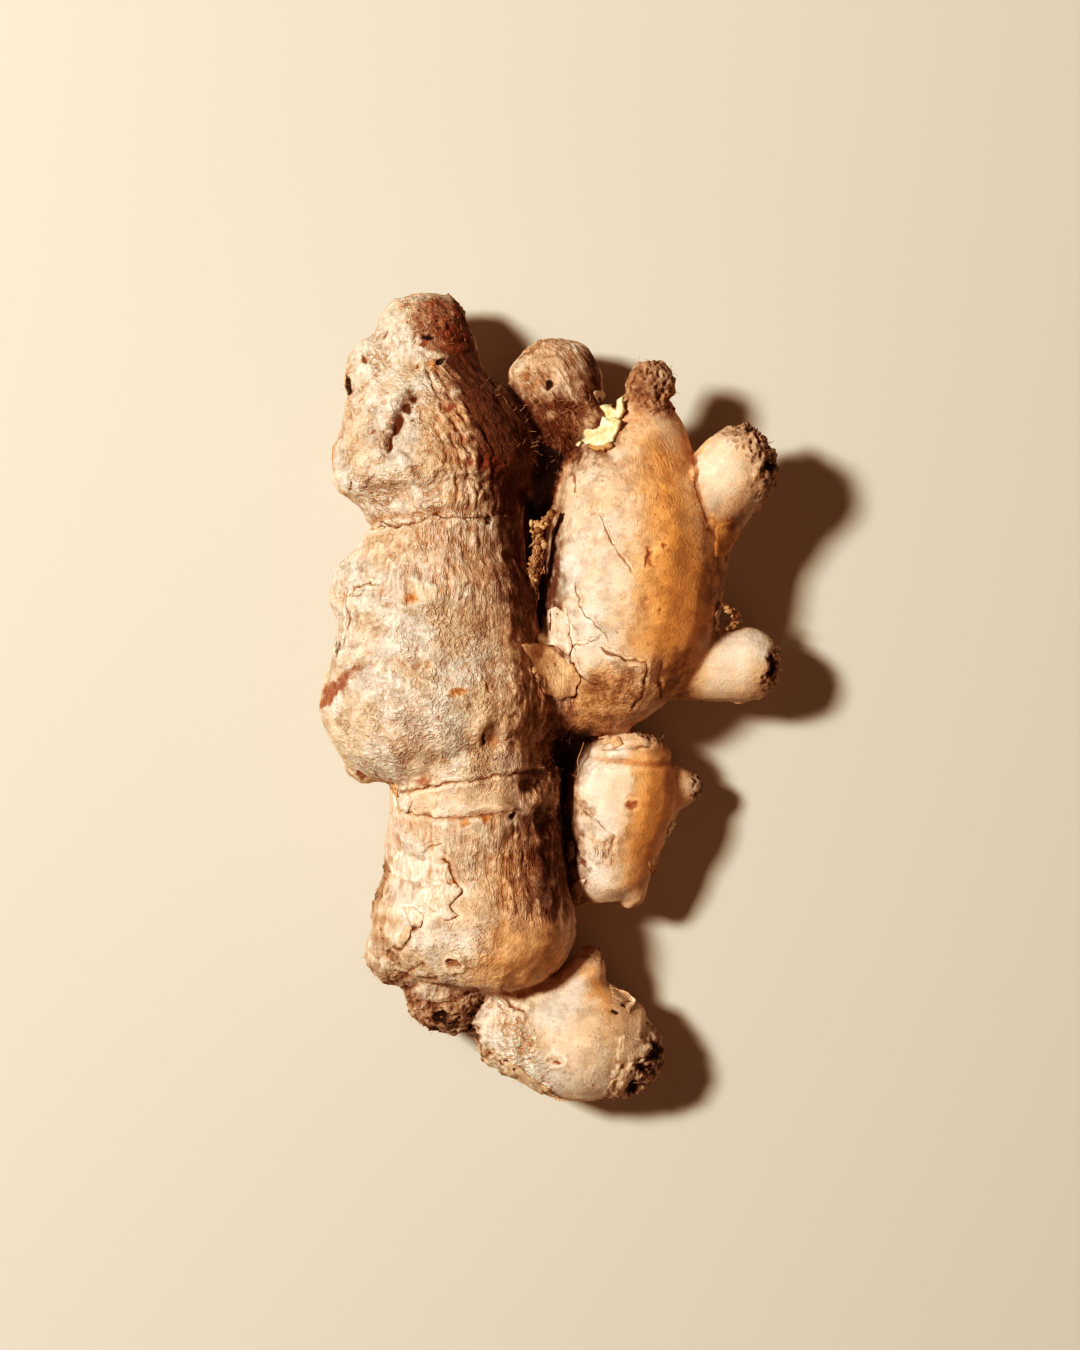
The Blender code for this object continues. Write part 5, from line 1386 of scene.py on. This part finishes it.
# %% Skin material: colour and strength of each layer
LAYERS = {
    # Orange brown: partly the skin's own colour, partly painted warm shade on sides turned from the light.
    "honey_and_shade": ((0.84, 0.39, 0.125, 1.0), 0.85),
    # Brown of dried skin, also used as painted shade on right-hand sides.
    "dry": ((0.44, 0.205, 0.08, 1.0), 0.66),
    "crust": ((0.31, 0.17, 0.095, 1.0), 0.6),
    # Painted shade.
    "painted_shade": ((0.11, 0.032, 0.013, 1.0), 0.93),
    "paper": ((0.88, 0.74, 0.59, 1.0), 0.9),
    "rust": ((0.30, 0.075, 0.03, 1.0), 0.85),
    "crack": ((0.22, 0.075, 0.028, 1.0), 0.9),
    # Near-black: scabs and holes, and painted shadow in clefts and hollows.
    "soot_and_shade": ((0.014, 0.008, 0.005, 1.0), 0.94),
}
# Painted shade: a warm brown multiplied into furrows, their lines and hollows.
FURROW_SHADE_COLOUR = (0.66, 0.36, 0.19, 1.0)
FURROW_SHADES = {"grain": 0.28, "lines": 0.7, "hollow": 0.5}
RIDGE_LIGHT = 0.20
SKIN_BUMP = 0.42  # mm
RAGGED_EDGE = 0.8  # how far noise moves the edge of a mask


def laid_over(tree, colour, name, cover):
    """A colour with one layer laid over it where cover is high."""
    layer_colour, strength = LAYERS[name]
    return mixed(tree, times(tree, cover, strength), colour, layer_colour)


def ragged_mask(tree, name, edge_noise):
    """A mask of the mesh with its edge moved by noise."""
    return maths(tree, "MULTIPLY_ADD", edge_noise, RAGGED_EDGE, mask(tree, name))


def skin_material():
    """Ginger skin: mottled tan, with scars, crusts, dead skin, near-black marks and painted shade where the
    masks say.
    """
    made, tree, shader, where = new_material("ginger_skin", roughness=0.7, specular=0.20)
    edge_noise = maths(tree, "SUBTRACT", noise_texture(tree, where, 0.8, 4.0, 0.7), 0.5)
    honey_and_shade = mask(tree, "honey_and_shade")
    dry = mask(tree, "dry")
    freckles = maths(tree, "MULTIPLY_ADD", maths(tree, "MAXIMUM", honey_and_shade, dry), 0.5, 0.55)
    mottle = {"Vector": where, "Freckles": freckles}
    colour = node(tree, "ShaderNodeGroup", mottle, node_tree=MOTTLE).outputs[0]
    # The orange and dried browns laid next are partly painted shade.
    colour = laid_over(tree, colour, "honey_and_shade", honey_and_shade)
    patchy = maths(tree, "MULTIPLY_ADD", patches(tree, where, 3.2, 6.0, 0.65, 0.36, 0.60), 0.55, 0.45)
    colour = laid_over(tree, colour, "dry", times(tree, dry, patchy))
    colour = laid_over(tree, colour, "crust", mask(tree, "crust"))
    # Painted shade, patchy, on the sides turned from the light.
    painted_shade = maths(tree, "MULTIPLY_ADD", patchy, 0.6, mask(tree, "painted_shade"))
    colour = laid_over(tree, colour, "painted_shade", stepped(tree, painted_shade, 0.35, 1.10))
    sheet = maths(tree, "MULTIPLY_ADD", edge_noise, 0.9, mask(tree, "sheet_depth"))
    cloudy = maths(tree, "MULTIPLY_ADD", patches(tree, where, 1.6, 5.0, 0.65, 0.35, 0.55), 0.4, 0.6)
    paper = times(tree, times(tree, mask(tree, "paper"), cloudy), stepped(tree, sheet, -0.03, 0.06))
    colour = laid_over(tree, colour, "paper", paper)
    grain = {"Vector": where, "Along": mask(tree, "grain", "Vector"),
             "Wrinkle": mask(tree, "wrinkle"), "Pebble": mask(tree, "pebble")}
    height, lines = node(tree, "ShaderNodeGroup", grain, node_tree=GRAIN).outputs
    # Painted shade: warm brown multiplied into the low parts of the fine relief, and into its lines, which
    # are partly the skin's own dark lines.
    low = times(tree, stepped(tree, height, 0.45, 0.0), FURROW_SHADES["grain"])
    low = maths(tree, "MAXIMUM", low, times(tree, lines, FURROW_SHADES["lines"]))
    colour = mixed(tree, low, colour, FURROW_SHADE_COLOUR, "MULTIPLY")
    rust = stepped(tree, ragged_mask(tree, "rust", edge_noise), 0.15, 0.90)
    colour = laid_over(tree, colour, "rust", rust)
    off_line = maths(tree, "ABSOLUTE", ragged_mask(tree, "crack_side", edge_noise))
    crack = times(tree, stepped(tree, off_line, 0.52, 0.15), mask(tree, "crack"))
    colour = laid_over(tree, colour, "crack", crack)
    # Painted shade in the hollows; the ridges then come out a little lighter.
    hollow = times(tree, stepped(tree, mask(tree, "cavity"), 0.15, 0.95), FURROW_SHADES["hollow"])
    colour = mixed(tree, hollow, colour, FURROW_SHADE_COLOUR, "MULTIPLY")
    ridge = times(tree, stepped(tree, mask(tree, "cavity"), -0.15, -0.8), RIDGE_LIGHT)
    colour = mixed(tree, ridge, colour, colour, "ADD")
    # Near-black, for dark scabs and holes and for painted shadow in the clefts and hollows.
    soot_and_shade = stepped(tree, ragged_mask(tree, "soot_and_shade", edge_noise), 0.15, 0.85)
    colour = laid_over(tree, colour, "soot_and_shade", soot_and_shade)
    tree.links.new(colour, shader.inputs["Base Color"])
    bumped(tree, shader, maths(tree, "MULTIPLY_ADD", crack, -1.0, height), SKIN_BUMP)
    shine = maths(tree, "MULTIPLY_ADD", noise_texture(tree, where, 4.0, 3.0), 0.25, 0.46)
    tree.links.new(maths(tree, "MULTIPLY_ADD", soot_and_shade, 0.3, shine, clamp=True), shader.inputs["Roughness"])
    shader.inputs["Specular Tint"].default_value = (1.0, 0.80, 0.60, 1.0)
    let_light_in(shader, weight=0.25, reach_mm=(2.6, 1.0, 0.4))
    return made


def finish_piece(piece, material):
    """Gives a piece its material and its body."""
    piece.data.materials.clear()
    piece.data.materials.append(material)
    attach(piece, "root")


finish_piece(rhizome, skin_material())
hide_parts("rhizome")
print("skin material on", rhizome.name)

# %% [markdown]
# ## Papery scales
# The outer skin peels in thin sheets, and the edges that catch the light stand off the root. Each
# sheet is an outline drawn in pixels. It is filled with triangles, laid on the skin by rays from the
# lens, lifted towards the side that has come loose, and given a wall.

# %% Lay a sheet on the skin
OUTLINE_STEP = 3.0  # pixels
GRID_STEP = 4.0  # pixels
TORN_STRAY = 3.2  # pixels, before it is evened out

skin_tree = BVHTree.FromPolygons([v.co for v in finished.vertices],
                                 [tuple(face.vertices) for face in finished.polygons])


def on_skin(spot):
    """The place on the skin, in millimetres, that a pixel shows, and the way the skin faces there."""
    lens = Vector(CAMERA_AT) * MM
    aim = Vector(under_pixel(spot, 0.0)) * MM - lens
    hit, normal, _, _ = skin_tree.ray_cast(lens, aim.normalized())
    if hit is None:
        hit, normal, _, _ = skin_tree.find_nearest(Vector(under_pixel(spot, 14.0)) * MM)
    return np.array(hit) / MM, np.array(normal)


def torn_outline(outline, rng):
    """An outline cut into short steps, which stray in long and in short waves."""
    marks = np.array(outline, float)
    spots = []
    for start, end in zip(marks, np.roll(marks, -1, axis=0)):
        steps = max(1, int(np.linalg.norm(end - start) / OUTLINE_STEP))
        spots += [start + (end - start) * k / steps for k in range(steps)]
    stray = rng.normal(0.0, TORN_STRAY, (len(spots), 2))
    for _ in range(3):
        stray = 0.25 * np.roll(stray, 1, axis=0) + 0.5 * stray + 0.25 * np.roll(stray, -1, axis=0)
    return np.array(spots) + stray + rng.uniform(-0.8, 0.8, stray.shape)


def sheet_points(outline, lift, loose_side, rumple, rng):
    """The corners of one sheet, in millimetres, its triangles, and how near its edge each is."""
    edge = torn_outline(outline, rng)
    low, high = edge.min(axis=0), edge.max(axis=0)
    columns, rows = (np.arange(low[k], high[k], GRID_STEP) for k in range(2))
    grid = np.array([(x, y) for x in columns for y in rows])
    grid = grid[depth_inside(edge, grid) > 0.35] if len(grid) else np.zeros((0, 2))
    grid = grid + rng.uniform(-0.8, 0.8, grid.shape)
    flat = [Vector(spot) for spot in np.concatenate([edge, grid])]
    corners, _, faces, *_ = geometry.delaunay_2d_cdt(flat, [], [list(range(len(edge)))], 1, 1e-5)
    spots = np.array([tuple(corner) for corner in corners])
    depth = np.maximum(depth_inside(edge, spots), 0.0)
    middle = spots.mean(axis=0)
    aim = np.array(loose_side, float) / np.linalg.norm(loose_side)
    loose = smooth_step(-0.2, 1.0, (spots - middle) @ aim / (np.abs((spots - middle) @ aim).max() + 1e-6))
    rise = 0.03 + 0.8 * lift * loose ** 2 + 0.12 * lift * np.exp(-depth / 0.5)
    hits = [on_skin(spot) for spot in spots]
    base = np.array([hit for hit, _ in hits])
    normal = np.array([facing for _, facing in hits]) + (0.0, 0.0, 0.8)
    normal /= np.linalg.norm(normal, axis=1)[:, None]
    rise = rise + rumple * (noise_at(base, 2.2, 61) + 0.5 * noise_at(base, 1.0, 62))
    return base + normal * np.maximum(rise, 0.05)[:, None], faces, depth


def joined_mesh(name, parts):
    """One mesh from parts of (points in mm, faces, and named numbers for each point)."""
    places = []
    faces = []
    numbers = {}
    for points, own_faces, own_numbers in parts:
        start = sum(len(block) for block in places)
        places.append(points)
        faces += [tuple(start + corner for corner in face) for face in own_faces]
        for key, values in own_numbers.items():
            numbers.setdefault(key, []).append(np.broadcast_to(values, len(points)))
    inside = np.clip(np.concatenate(places), box_low + 0.02, box_high - 0.02)
    mesh = bpy.data.meshes.new(name)
    mesh.from_pydata((inside * MM).tolist(), [], faces)
    for key, blocks in numbers.items():
        keep(mesh, key, np.concatenate(blocks))
    mesh.shade_smooth()
    return mesh


def sheets_piece(name, table, wall, seed):
    """One object that holds every sheet of a table, each with a wall."""
    rng = np.random.default_rng(seed)
    parts = []
    for outline, lift, loose_side, rumple, tone in table.values():
        points, faces, depth = sheet_points(outline, lift, loose_side, rumple, rng)
        first, second, third = (points[corner] for corner in faces[0][:3])
        if np.cross(second - first, third - first)[2] < 0:
            faces = [face[::-1] for face in faces]
        parts.append((points, faces, {"edge": depth, "tone": tone}))
    piece = add(name, joined_mesh(name, parts))
    solid = piece.modifiers.new("wall", "SOLIDIFY")
    solid.thickness = wall * MM
    solid.offset = 1.0
    print(name, "has", len(table), "sheets and", len(apply_modifiers(piece).polygons), "faces")
    return piece


# %% Sheets: outline, lift in mm, the side that is loose, rumple, tone (0 cream, 1 brown)
SHEETS = {
    "palm_fan_high": ([(538, 627), (546, 612), (556, 607), (565, 612), (572, 630), (573, 641), (569, 655),
                       (554, 647), (538, 640)], 0.30, (1, 0.6), 0.06, 0.05),
    "palm_fan_low": ([(522, 645), (538, 640), (559, 654), (574, 665), (581, 677), (574, 699), (560, 700),
                      (547, 694), (531, 667)], 0.55, (1, 0.7), 0.05, 0.60),
    "heel_sheet": ([(423, 884), (445, 883), (459, 887), (462, 893), (457, 898), (451, 905), (453, 913),
                    (458, 919), (445, 919), (431, 911), (423, 899)], 0.55, (1, 0.3), 0.12, 0.0),
    "heel_sheet_low": ([(404, 908), (414, 905), (424, 913), (421, 924), (411, 925)],
                       0.4, (0.3, 1), 0.12, 0.05),
    "heel_tab": ([(396, 794), (408, 794), (413, 803), (408, 811), (398, 808)], 0.5, (-0.5, 1), 0.15, 0.0),
    "heel_chip": ([(376, 980), (384, 978), (387, 986), (379, 990)], 0.5, (-1, 0.3), 0.1, 0.1),
    "heel_strip": ([(404, 926), (412, 926), (408, 940), (402, 950), (396, 948), (400, 936)],
                   0.35, (1, 0.2), 0.12, 0.35),
    "ring_curl": ([(574, 884), (586, 880), (585, 893), (578, 900), (573, 893)], 1.4, (-0.2, 1), 0.15, 0.0),
    "ring_strip": ([(566, 840), (571, 840), (574, 856), (570, 862), (566, 852)], 0.8, (-1, 0.2), 0.1, 0.1),
    "ring_sliver": ([(672, 818), (675, 820), (668, 836), (664, 840)], 0.7, (1, 0.2), 0.1, 0.05),
    "ring_debris_1": ([(597, 736), (608, 733), (613, 740), (603, 745)], 0.9, (-0.5, -1), 0.2, 0.4),
    "ring_debris_2": ([(608, 742), (618, 738), (622, 745), (612, 748)], 0.7, (0.3, -1), 0.2, 0.6),
    "ring_dark_chip": ([(648, 862), (656, 864), (657, 874), (650, 878)], 0.7, (1, 0), 0.15, 1.0),
    "thumb_chip": ([(596, 388), (602, 390), (603, 399), (599, 403), (595, 396)], 0.9, (1, 0), 0.15, 0.0),
    "bud_low_chip": ([(711, 614), (718, 612), (722, 622), (718, 630), (711, 626)], 0.9, (-0.4, -1), 0.2, 0.1),
    "palm_side_scale": ([(714, 526), (733, 520), (740, 540), (734, 562), (718, 556)],
                        0.5, (1, 0.2), 0.12, 1.0),
    "little_wing": ([(611, 984), (622, 980), (630, 990), (634, 1004), (629, 1012), (619, 1002)],
                    1.3, (1, -0.4), 0.15, 0.35),
    "little_hem_1": ([(500, 1060), (516, 1064), (530, 1076), (548, 1088), (538, 1098), (518, 1088),
                      (502, 1076)], 0.6, (0.3, 1), 0.2, 0.35),
    "little_hem_2": ([(545, 1088), (558, 1092), (570, 1102), (560, 1108), (546, 1104)],
                     0.7, (0.2, 1), 0.2, 0.5),
    "little_end_1": ([(624, 1036), (640, 1038), (650, 1046), (640, 1058), (630, 1064), (622, 1052)],
                     0.7, (1, 0.2), 0.2, 0.2),
    "little_end_2": ([(622, 1068), (634, 1070), (630, 1086), (618, 1096), (610, 1090)],
                     0.6, (0.6, 0.8), 0.2, 0.3),
    "corner_chip": ([(384, 783), (394, 786), (400, 796), (390, 795)], 0.7, (0, 1), 0.2, 0.8),
}
papery_skin = sheets_piece("papery_scales", SHEETS, wall=0.08, seed=3)


# %% Scale material: light and dark blotches of each kind of dead skin
CREAMS = ((0.88, 0.73, 0.58, 1.0), (0.70, 0.48, 0.32, 1.0))
BROWNS = ((0.76, 0.40, 0.15, 1.0), (0.50, 0.22, 0.07, 1.0))
FIBRE_LINES = (0.38, 0.18, 0.08, 1.0)
TORN_EDGES = (0.50, 0.27, 0.13, 1.0)


def scale_material():
    """Dead skin: cream to brown by the sheet's tone, with fine fibres and darker torn edges."""
    made, tree, shader, where = new_material("papery_skin", roughness=0.75, specular=0.3)
    tone = mask(tree, "tone")
    blotch = patches(tree, where, 2.4, 5.0, 0.65, 0.36, 0.62)
    cream = mixed(tree, times(tree, blotch, 0.75), *CREAMS)
    brown = mixed(tree, blotch, *BROWNS)
    colour = mixed(tree, tone, cream, brown)
    stretch = {"Vector": where, "Scale": (1.0, 0.25, 1.0), "Rotation": (0.0, 0.0, 0.6)}
    stretched = node(tree, "ShaderNodeMapping", stretch).outputs[0]
    lines = thread_lines(tree, stretched, spacing_mm=0.9, thickness=0.05)
    colour = mixed(tree, times(tree, lines, 0.30), colour, FIBRE_LINES)
    rim = stepped(tree, mask(tree, "edge"), 0.45, 0.0)
    colour = mixed(tree, times(tree, rim, 0.20), colour, TORN_EDGES)
    tree.links.new(colour, shader.inputs["Base Color"])
    height = maths(tree, "MULTIPLY_ADD", lines, -0.6, noise_texture(tree, where, 0.6, 4.0, 0.65))
    bumped(tree, shader, height, depth_mm=0.12)
    let_light_in(shader, weight=0.10, reach_mm=(0.8, 0.4, 0.2))
    return made


finish_piece(papery_skin, scale_material())

# %% [markdown]
# ## Torn flesh
# Where a small shoot was snapped off between the thumb and the palm, the pale yellow flesh shows in
# a crumbly strip. It is a stack of thick, rumpled sheets, the same way as the scales, but moist.

# %% Torn flesh: rows as for the sheets
FLESH = {
    "flesh_top": ([(600, 410), (611, 406), (618, 411), (627, 401), (629, 413), (621, 427), (612, 430),
                   (604, 420)], 1.6, (0.4, -1), 0.55, 0.0),
    "flesh_middle": ([(603, 419), (622, 424), (614, 443), (601, 448), (586, 442), (590, 432), (601, 427)],
                     1.3, (-0.2, -1), 0.55, 0.0),
    "flesh_tail": ([(574, 443), (586, 433), (600, 428), (604, 436), (592, 443), (584, 442)],
                   1.4, (-1, 0), 0.40, 0.3),
    "flesh_crust": ([(592, 444), (604, 446), (608, 440), (612, 446), (603, 455), (594, 453)],
                    0.8, (0, 1), 0.35, 1.0),
    "flesh_curl": ([(606, 428), (618, 418), (624, 422), (616, 434), (608, 438)], 2.2, (1, -0.4), 0.5, 0.1),
}
FLESH_COLOURS = ((0.95, 0.87, 0.58, 1.0), (0.86, 0.62, 0.28, 1.0))
FLESH_CRUST = (0.52, 0.22, 0.07, 1.0)
torn_flesh = sheets_piece("torn_flesh", FLESH, wall=0.75, seed=5)


def flesh_material():
    """Moist pale yellow flesh, orange-brown where the tone is high."""
    made, tree, shader, where = new_material("torn_ginger_flesh", roughness=0.45, specular=0.5)
    blotch = patches(tree, where, 1.8, 5.0, 0.65, 0.38, 0.64)
    colour = mixed(tree, blotch, *FLESH_COLOURS)
    colour = mixed(tree, times(tree, mask(tree, "tone"), 0.8), colour, FLESH_CRUST)
    tree.links.new(colour, shader.inputs["Base Color"])
    bumped(tree, shader, noise_texture(tree, where, 0.7, 5.0, 0.7), depth_mm=0.35)
    let_light_in(shader, weight=0.2, reach_mm=(1.5, 1.0, 0.5))
    return made


finish_piece(torn_flesh, flesh_material())

# %% [markdown]
# ## Fibres
# A frayed root hangs in the long cleft, a thread crosses the gap under the palm, and a curly tuft
# sits on the low bud. Each strand is a thin tube round a wandering path, so a few turns of twist
# and some noise give the frayed look.

# %% Strands


def tube(path, radii, sides=5):
    """The corners and faces of a closed tube round a path, with a radius at each of its points."""
    ahead = np.gradient(path, axis=0)
    ahead /= np.linalg.norm(ahead, axis=1)[:, None]
    across = np.cross(ahead, (0.31, 0.17, 0.94))
    across /= np.linalg.norm(across, axis=1)[:, None]
    up = np.cross(ahead, across)
    angles = np.arange(sides) * 2 * np.pi / sides
    rings = [path + radii[:, None] * (across * np.cos(a) + up * np.sin(a)) for a in angles]
    corners = np.stack(rings, axis=1).reshape(-1, 3)
    faces = []
    for k in range(len(path) - 1):
        for side in range(sides):
            nxt = (side + 1) % sides
            faces.append((k * sides + side, k * sides + nxt, (k + 1) * sides + nxt, (k + 1) * sides + side))
    faces.append(tuple(range(sides))[::-1])
    faces.append(tuple((len(path) - 1) * sides + side for side in range(sides)))
    return corners, faces


def smooth_route(marks, count):
    """A smooth path of count points through marks."""
    marks = np.array(marks, float)
    run = np.concatenate([[0.0], np.cumsum(np.linalg.norm(np.diff(marks, axis=0), axis=1))])
    at = np.linspace(0.0, run[-1], count)
    route = np.stack([np.interp(at, run, marks[:, k]) for k in range(3)], axis=1)
    for _ in range(3):
        route[1:-1] = 0.25 * route[:-2] + 0.5 * route[1:-1] + 0.25 * route[2:]
    return route


def frayed(route, strands, spread, thickness, rng):
    """Strands that twist round a route and fray out of it."""
    parts = []
    for _ in range(strands):
        start = rng.uniform(0.0, 0.7)
        stop = min(1.0, start + rng.uniform(0.25, 0.7))
        first, last = int(start * (len(route) - 1)), int(stop * (len(route) - 1))
        own = route[first:max(last, first + 6)]
        share = np.linspace(0.0, 1.0, len(own))
        turn = rng.uniform(0, 6.28) + rng.uniform(-4.0, 4.0) * share
        away = spread * rng.uniform(0.2, 1.0) * (0.6 + 0.8 * share ** 3)
        swing = np.stack([np.cos(turn), 0.4 * np.sin(1.7 * turn), np.sin(turn)], axis=1)
        path = own + swing * away[:, None] + rng.normal(0.0, 0.10 * spread, own.shape)
        radii = thickness * rng.uniform(0.5, 1.3) * (1.0 - 0.75 * share ** 2)
        corners, faces = tube(path, radii)
        parts.append((corners, faces, {"tone": rng.uniform(0.0, 1.0)}))
    return parts


def knobs(route, count, spread, size, rng):
    """Lumpy crumbs that cling round a route."""
    shape = bmesh.new()
    bmesh.ops.create_icosphere(shape, subdivisions=2, radius=1.0)
    ball = np.array([tuple(corner.co) for corner in shape.verts])
    faces = [tuple(corner.index for corner in face.verts) for face in shape.faces]
    shape.free()
    parts = []
    for _ in range(count):
        middle = route[rng.integers(len(route))] + rng.normal(0.0, 0.45 * spread, 3)
        radius = size * rng.uniform(0.4, 1.3)
        dents = 1.0 + 0.35 * noise_at(ball + rng.uniform(0, 50, 3), 0.9, 71)
        corners = middle + ball * dents[:, None] * radius * rng.uniform(0.6, 1.2, 3)
        parts.append((corners, faces, {"tone": rng.uniform(0.0, 0.8)}))
    return parts


def at_height(spots):
    """Points in space from rows of (pixel x, pixel y, height in mm)."""
    return [under_pixel((x, y), z) for x, y, z in spots]


CLEFT_ROOT = [(553, 511, 25.5), (546, 519, 26.0), (537, 530, 26.0), (539, 545, 25.5),
              (537, 560, 25.0), (533, 580, 24.0), (530, 599, 22.5)]
CROSSING_HAIR = [(584, 742, 16.0), (581, 751, 17.0), (577, 761, 17.5), (579, 771, 17.0),
                 (574, 786, 16.5), (570, 800, 15.0)]
LOW_TUFT = [(719, 604, 20.0), (726, 608, 21.0), (734, 613, 20.5), (737, 621, 18.5),
            (729, 627, 18.5)]

strand_rng = np.random.default_rng(8)
cleft_root = smooth_route(at_height(CLEFT_ROOT), 60)
strands = frayed(cleft_root, strands=60, spread=1.5, thickness=0.27, rng=strand_rng)
strands += knobs(cleft_root, count=90, spread=1.4, size=0.60, rng=strand_rng)
crossing_hair = smooth_route(at_height(CROSSING_HAIR), 36)
strands.append((*tube(crossing_hair, np.linspace(0.16, 0.07, 36)), {"tone": 0.2}))
low_tuft = smooth_route(at_height(LOW_TUFT), 40)
strands += frayed(low_tuft, strands=26, spread=0.9, thickness=0.22, rng=strand_rng)
strands += knobs(low_tuft, count=44, spread=0.9, size=0.50, rng=strand_rng)
fibres = add("frayed_roots", joined_mesh("frayed_roots", strands))
print("strands:", len(strands))


FIBRE_COLOURS = ((0.62, 0.40, 0.22, 1.0), (0.24, 0.10, 0.045, 1.0))


def fibre_material():
    """Dry root fibre, tan to brown by strand."""
    made, tree, shader, where = new_material("dry_root_fibre", roughness=0.8, specular=0.3)
    tone = maths(tree, "MULTIPLY_ADD", noise_texture(tree, where, 1.2, 4.0, 0.65), 0.8, mask(tree, "tone"))
    colour = mixed(tree, stepped(tree, tone, 0.35, 1.35), *FIBRE_COLOURS)
    tree.links.new(colour, shader.inputs["Base Color"])
    bumped(tree, shader, noise_texture(tree, where, 0.35, 3.0, 0.6), depth_mm=0.10)
    return made


FIBRE = fibre_material()
finish_piece(fibres, FIBRE)

# %% [markdown]
# ## Root hairs and crumbs
# Short hairs stand on the old brown skin and crumbs of soil and crust sit round the scars. Both are
# scattered by Geometry Nodes over the finished skin, thickest where the `hairy` and `crust` masks
# are high. The result is turned into plain meshes, because the export drops instances.

# %% Scatter tree
LEAST_MASK = 0.15  # nothing grows where the mask is lower
HAIR = {"Start": (0.0, 0.0, -0.1), "Middle": (0.2, 0.0, 0.9), "End": (0.9, 0.2, 1.5)}  # mm
HAIR_RADIUS = 0.055
CRUMB_RADIUS = 0.3


def scatter_tree(name, mask_name, shape, material):
    """Copies of a small shape over a mesh, where one of its masks is high."""
    tree, given = new_group(
        name, "GeometryNodeTree", {"Geometry": "Geometry"}, Geometry=("Geometry",),
        Most_per_square_metre=("Float", 1.0e5), Smallest=("Float", 0.5), Largest=("Float", 1.0),
        Seed=("Int", 1))
    mask_node = node(tree, "GeometryNodeInputNamedAttribute", {"Name": mask_name}, data_type="FLOAT")
    strength = maths(tree, "SUBTRACT", mask_node.outputs["Attribute"], LEAST_MASK)
    density = times(tree, maths(tree, "MAXIMUM", strength, 0.0), given["Most per square metre"])
    spread = node(tree, "GeometryNodeDistributePointsOnFaces",
                  {"Mesh": given["Geometry"], "Density": density, "Seed": given["Seed"]}).outputs
    tilt = node(tree, "FunctionNodeRandomValue",
                {0: (-0.7, -0.7, 0.0), 1: (0.7, 0.7, 6.28), "Seed": given["Seed"]},
                data_type="FLOAT_VECTOR").outputs[0]
    turned = node(tree, "FunctionNodeRotateRotation",
                  {"Rotation": spread["Rotation"], "Rotate By": tilt}, rotation_space="LOCAL").outputs[0]
    size = node(tree, "FunctionNodeRandomValue",
                {2: given["Smallest"], 3: given["Largest"], "Seed": given["Seed"]},
                data_type="FLOAT").outputs[1]
    placed = node(tree, "GeometryNodeInstanceOnPoints",
                  {"Points": spread["Points"], "Instance": shape(tree), "Rotation": turned,
                   "Scale": size}).outputs[0]
    real = node(tree, "GeometryNodeRealizeInstances", {"Geometry": placed}).outputs[0]
    coloured = node(tree, "GeometryNodeSetMaterial", {"Geometry": real, "Material": material})
    return end_group(tree, {"Geometry": coloured.outputs[0]})


def hair_shape(tree):
    """One bent hair that tapers to a point."""
    route = {label: tuple(side * MM for side in spot) for label, spot in HAIR.items()}
    curve = node(tree, "GeometryNodeCurveQuadraticBezier", {"Resolution": 4, **route}).outputs[0]
    share = node(tree, "GeometryNodeSplineParameter").outputs["Factor"]
    taper = maths(tree, "MULTIPLY_ADD", share, -0.85, 1.0)
    thinned = node(tree, "GeometryNodeSetCurveRadius", {"Curve": curve, "Radius": taper}).outputs[0]
    circle = node(tree, "GeometryNodeCurvePrimitiveCircle", {"Resolution": 3, "Radius": HAIR_RADIUS * MM})
    hair = {"Curve": thinned, "Profile Curve": circle.outputs["Curve"], "Fill Caps": True}
    return node(tree, "GeometryNodeCurveToMesh", hair).outputs[0]


def crumb_shape(tree):
    """One lumpy crumb."""
    ball = node(tree, "GeometryNodeMeshIcoSphere", {"Radius": CRUMB_RADIUS * MM, "Subdivisions": 1})
    squeeze = {"Geometry": ball.outputs[0], "Scale": (1.2, 0.8, 0.6)}
    return node(tree, "GeometryNodeTransform", squeeze).outputs[0]


def scattered(name, tree, settings):
    """A plain mesh piece of what a scatter tree makes on the skin."""
    carrier = add(name, rhizome.data.copy())
    modifier = carrier.modifiers.new("scatter", "NODES")
    modifier.node_group = tree
    for item in tree.interface.items_tree:
        if item.item_type == "SOCKET" and item.in_out == "INPUT" and item.name in settings:
            modifier[item.identifier] = settings[item.name]
    mesh = apply_modifiers(carrier)
    spots = np.clip(array_of(mesh.vertices, "co", 3) / MM, box_low + 0.01, box_high - 0.01)
    mesh.vertices.foreach_set("co", (spots * MM).ravel())
    mesh.update()
    print(name, "has", len(mesh.polygons), "faces")
    return carrier


# %% Hairs and crumbs
CRUMB_COLOURS = ((0.10, 0.04, 0.02, 1.0), (0.34, 0.18, 0.09, 1.0))


def crumb_material():
    """Soil and scab, in browns from dark to mid."""
    made, tree, shader, where = new_material("scab_crumb", roughness=0.85, specular=0.2)
    tone = patches(tree, where, 2.0, 3.0, 0.65, 0.40, 0.62)
    colour = mixed(tree, tone, *CRUMB_COLOURS)
    tree.links.new(colour, shader.inputs["Base Color"])
    return made


CRUMB = crumb_material()
SCATTERS = {  # mask, shape, material, most for a square metre, smallest and largest, seed
    "root_hairs": ("hairy", hair_shape, FIBRE, 6.0e5, 0.3, 1.0, 4),
    "scab_crumbs": ("crust", crumb_shape, CRUMB, 2.0e5, 0.4, 1.6, 6),
}
loose_bits = []
for name, (mask_name, shape, material, most, smallest, largest, seed) in SCATTERS.items():
    tree = scatter_tree(name, mask_name, shape, material)
    settings = {"Most per square metre": most, "Smallest": smallest, "Largest": largest, "Seed": seed}
    loose_bits.append((scattered(name, tree, settings), material))
for piece, material in loose_bits:
    finish_piece(piece, material)
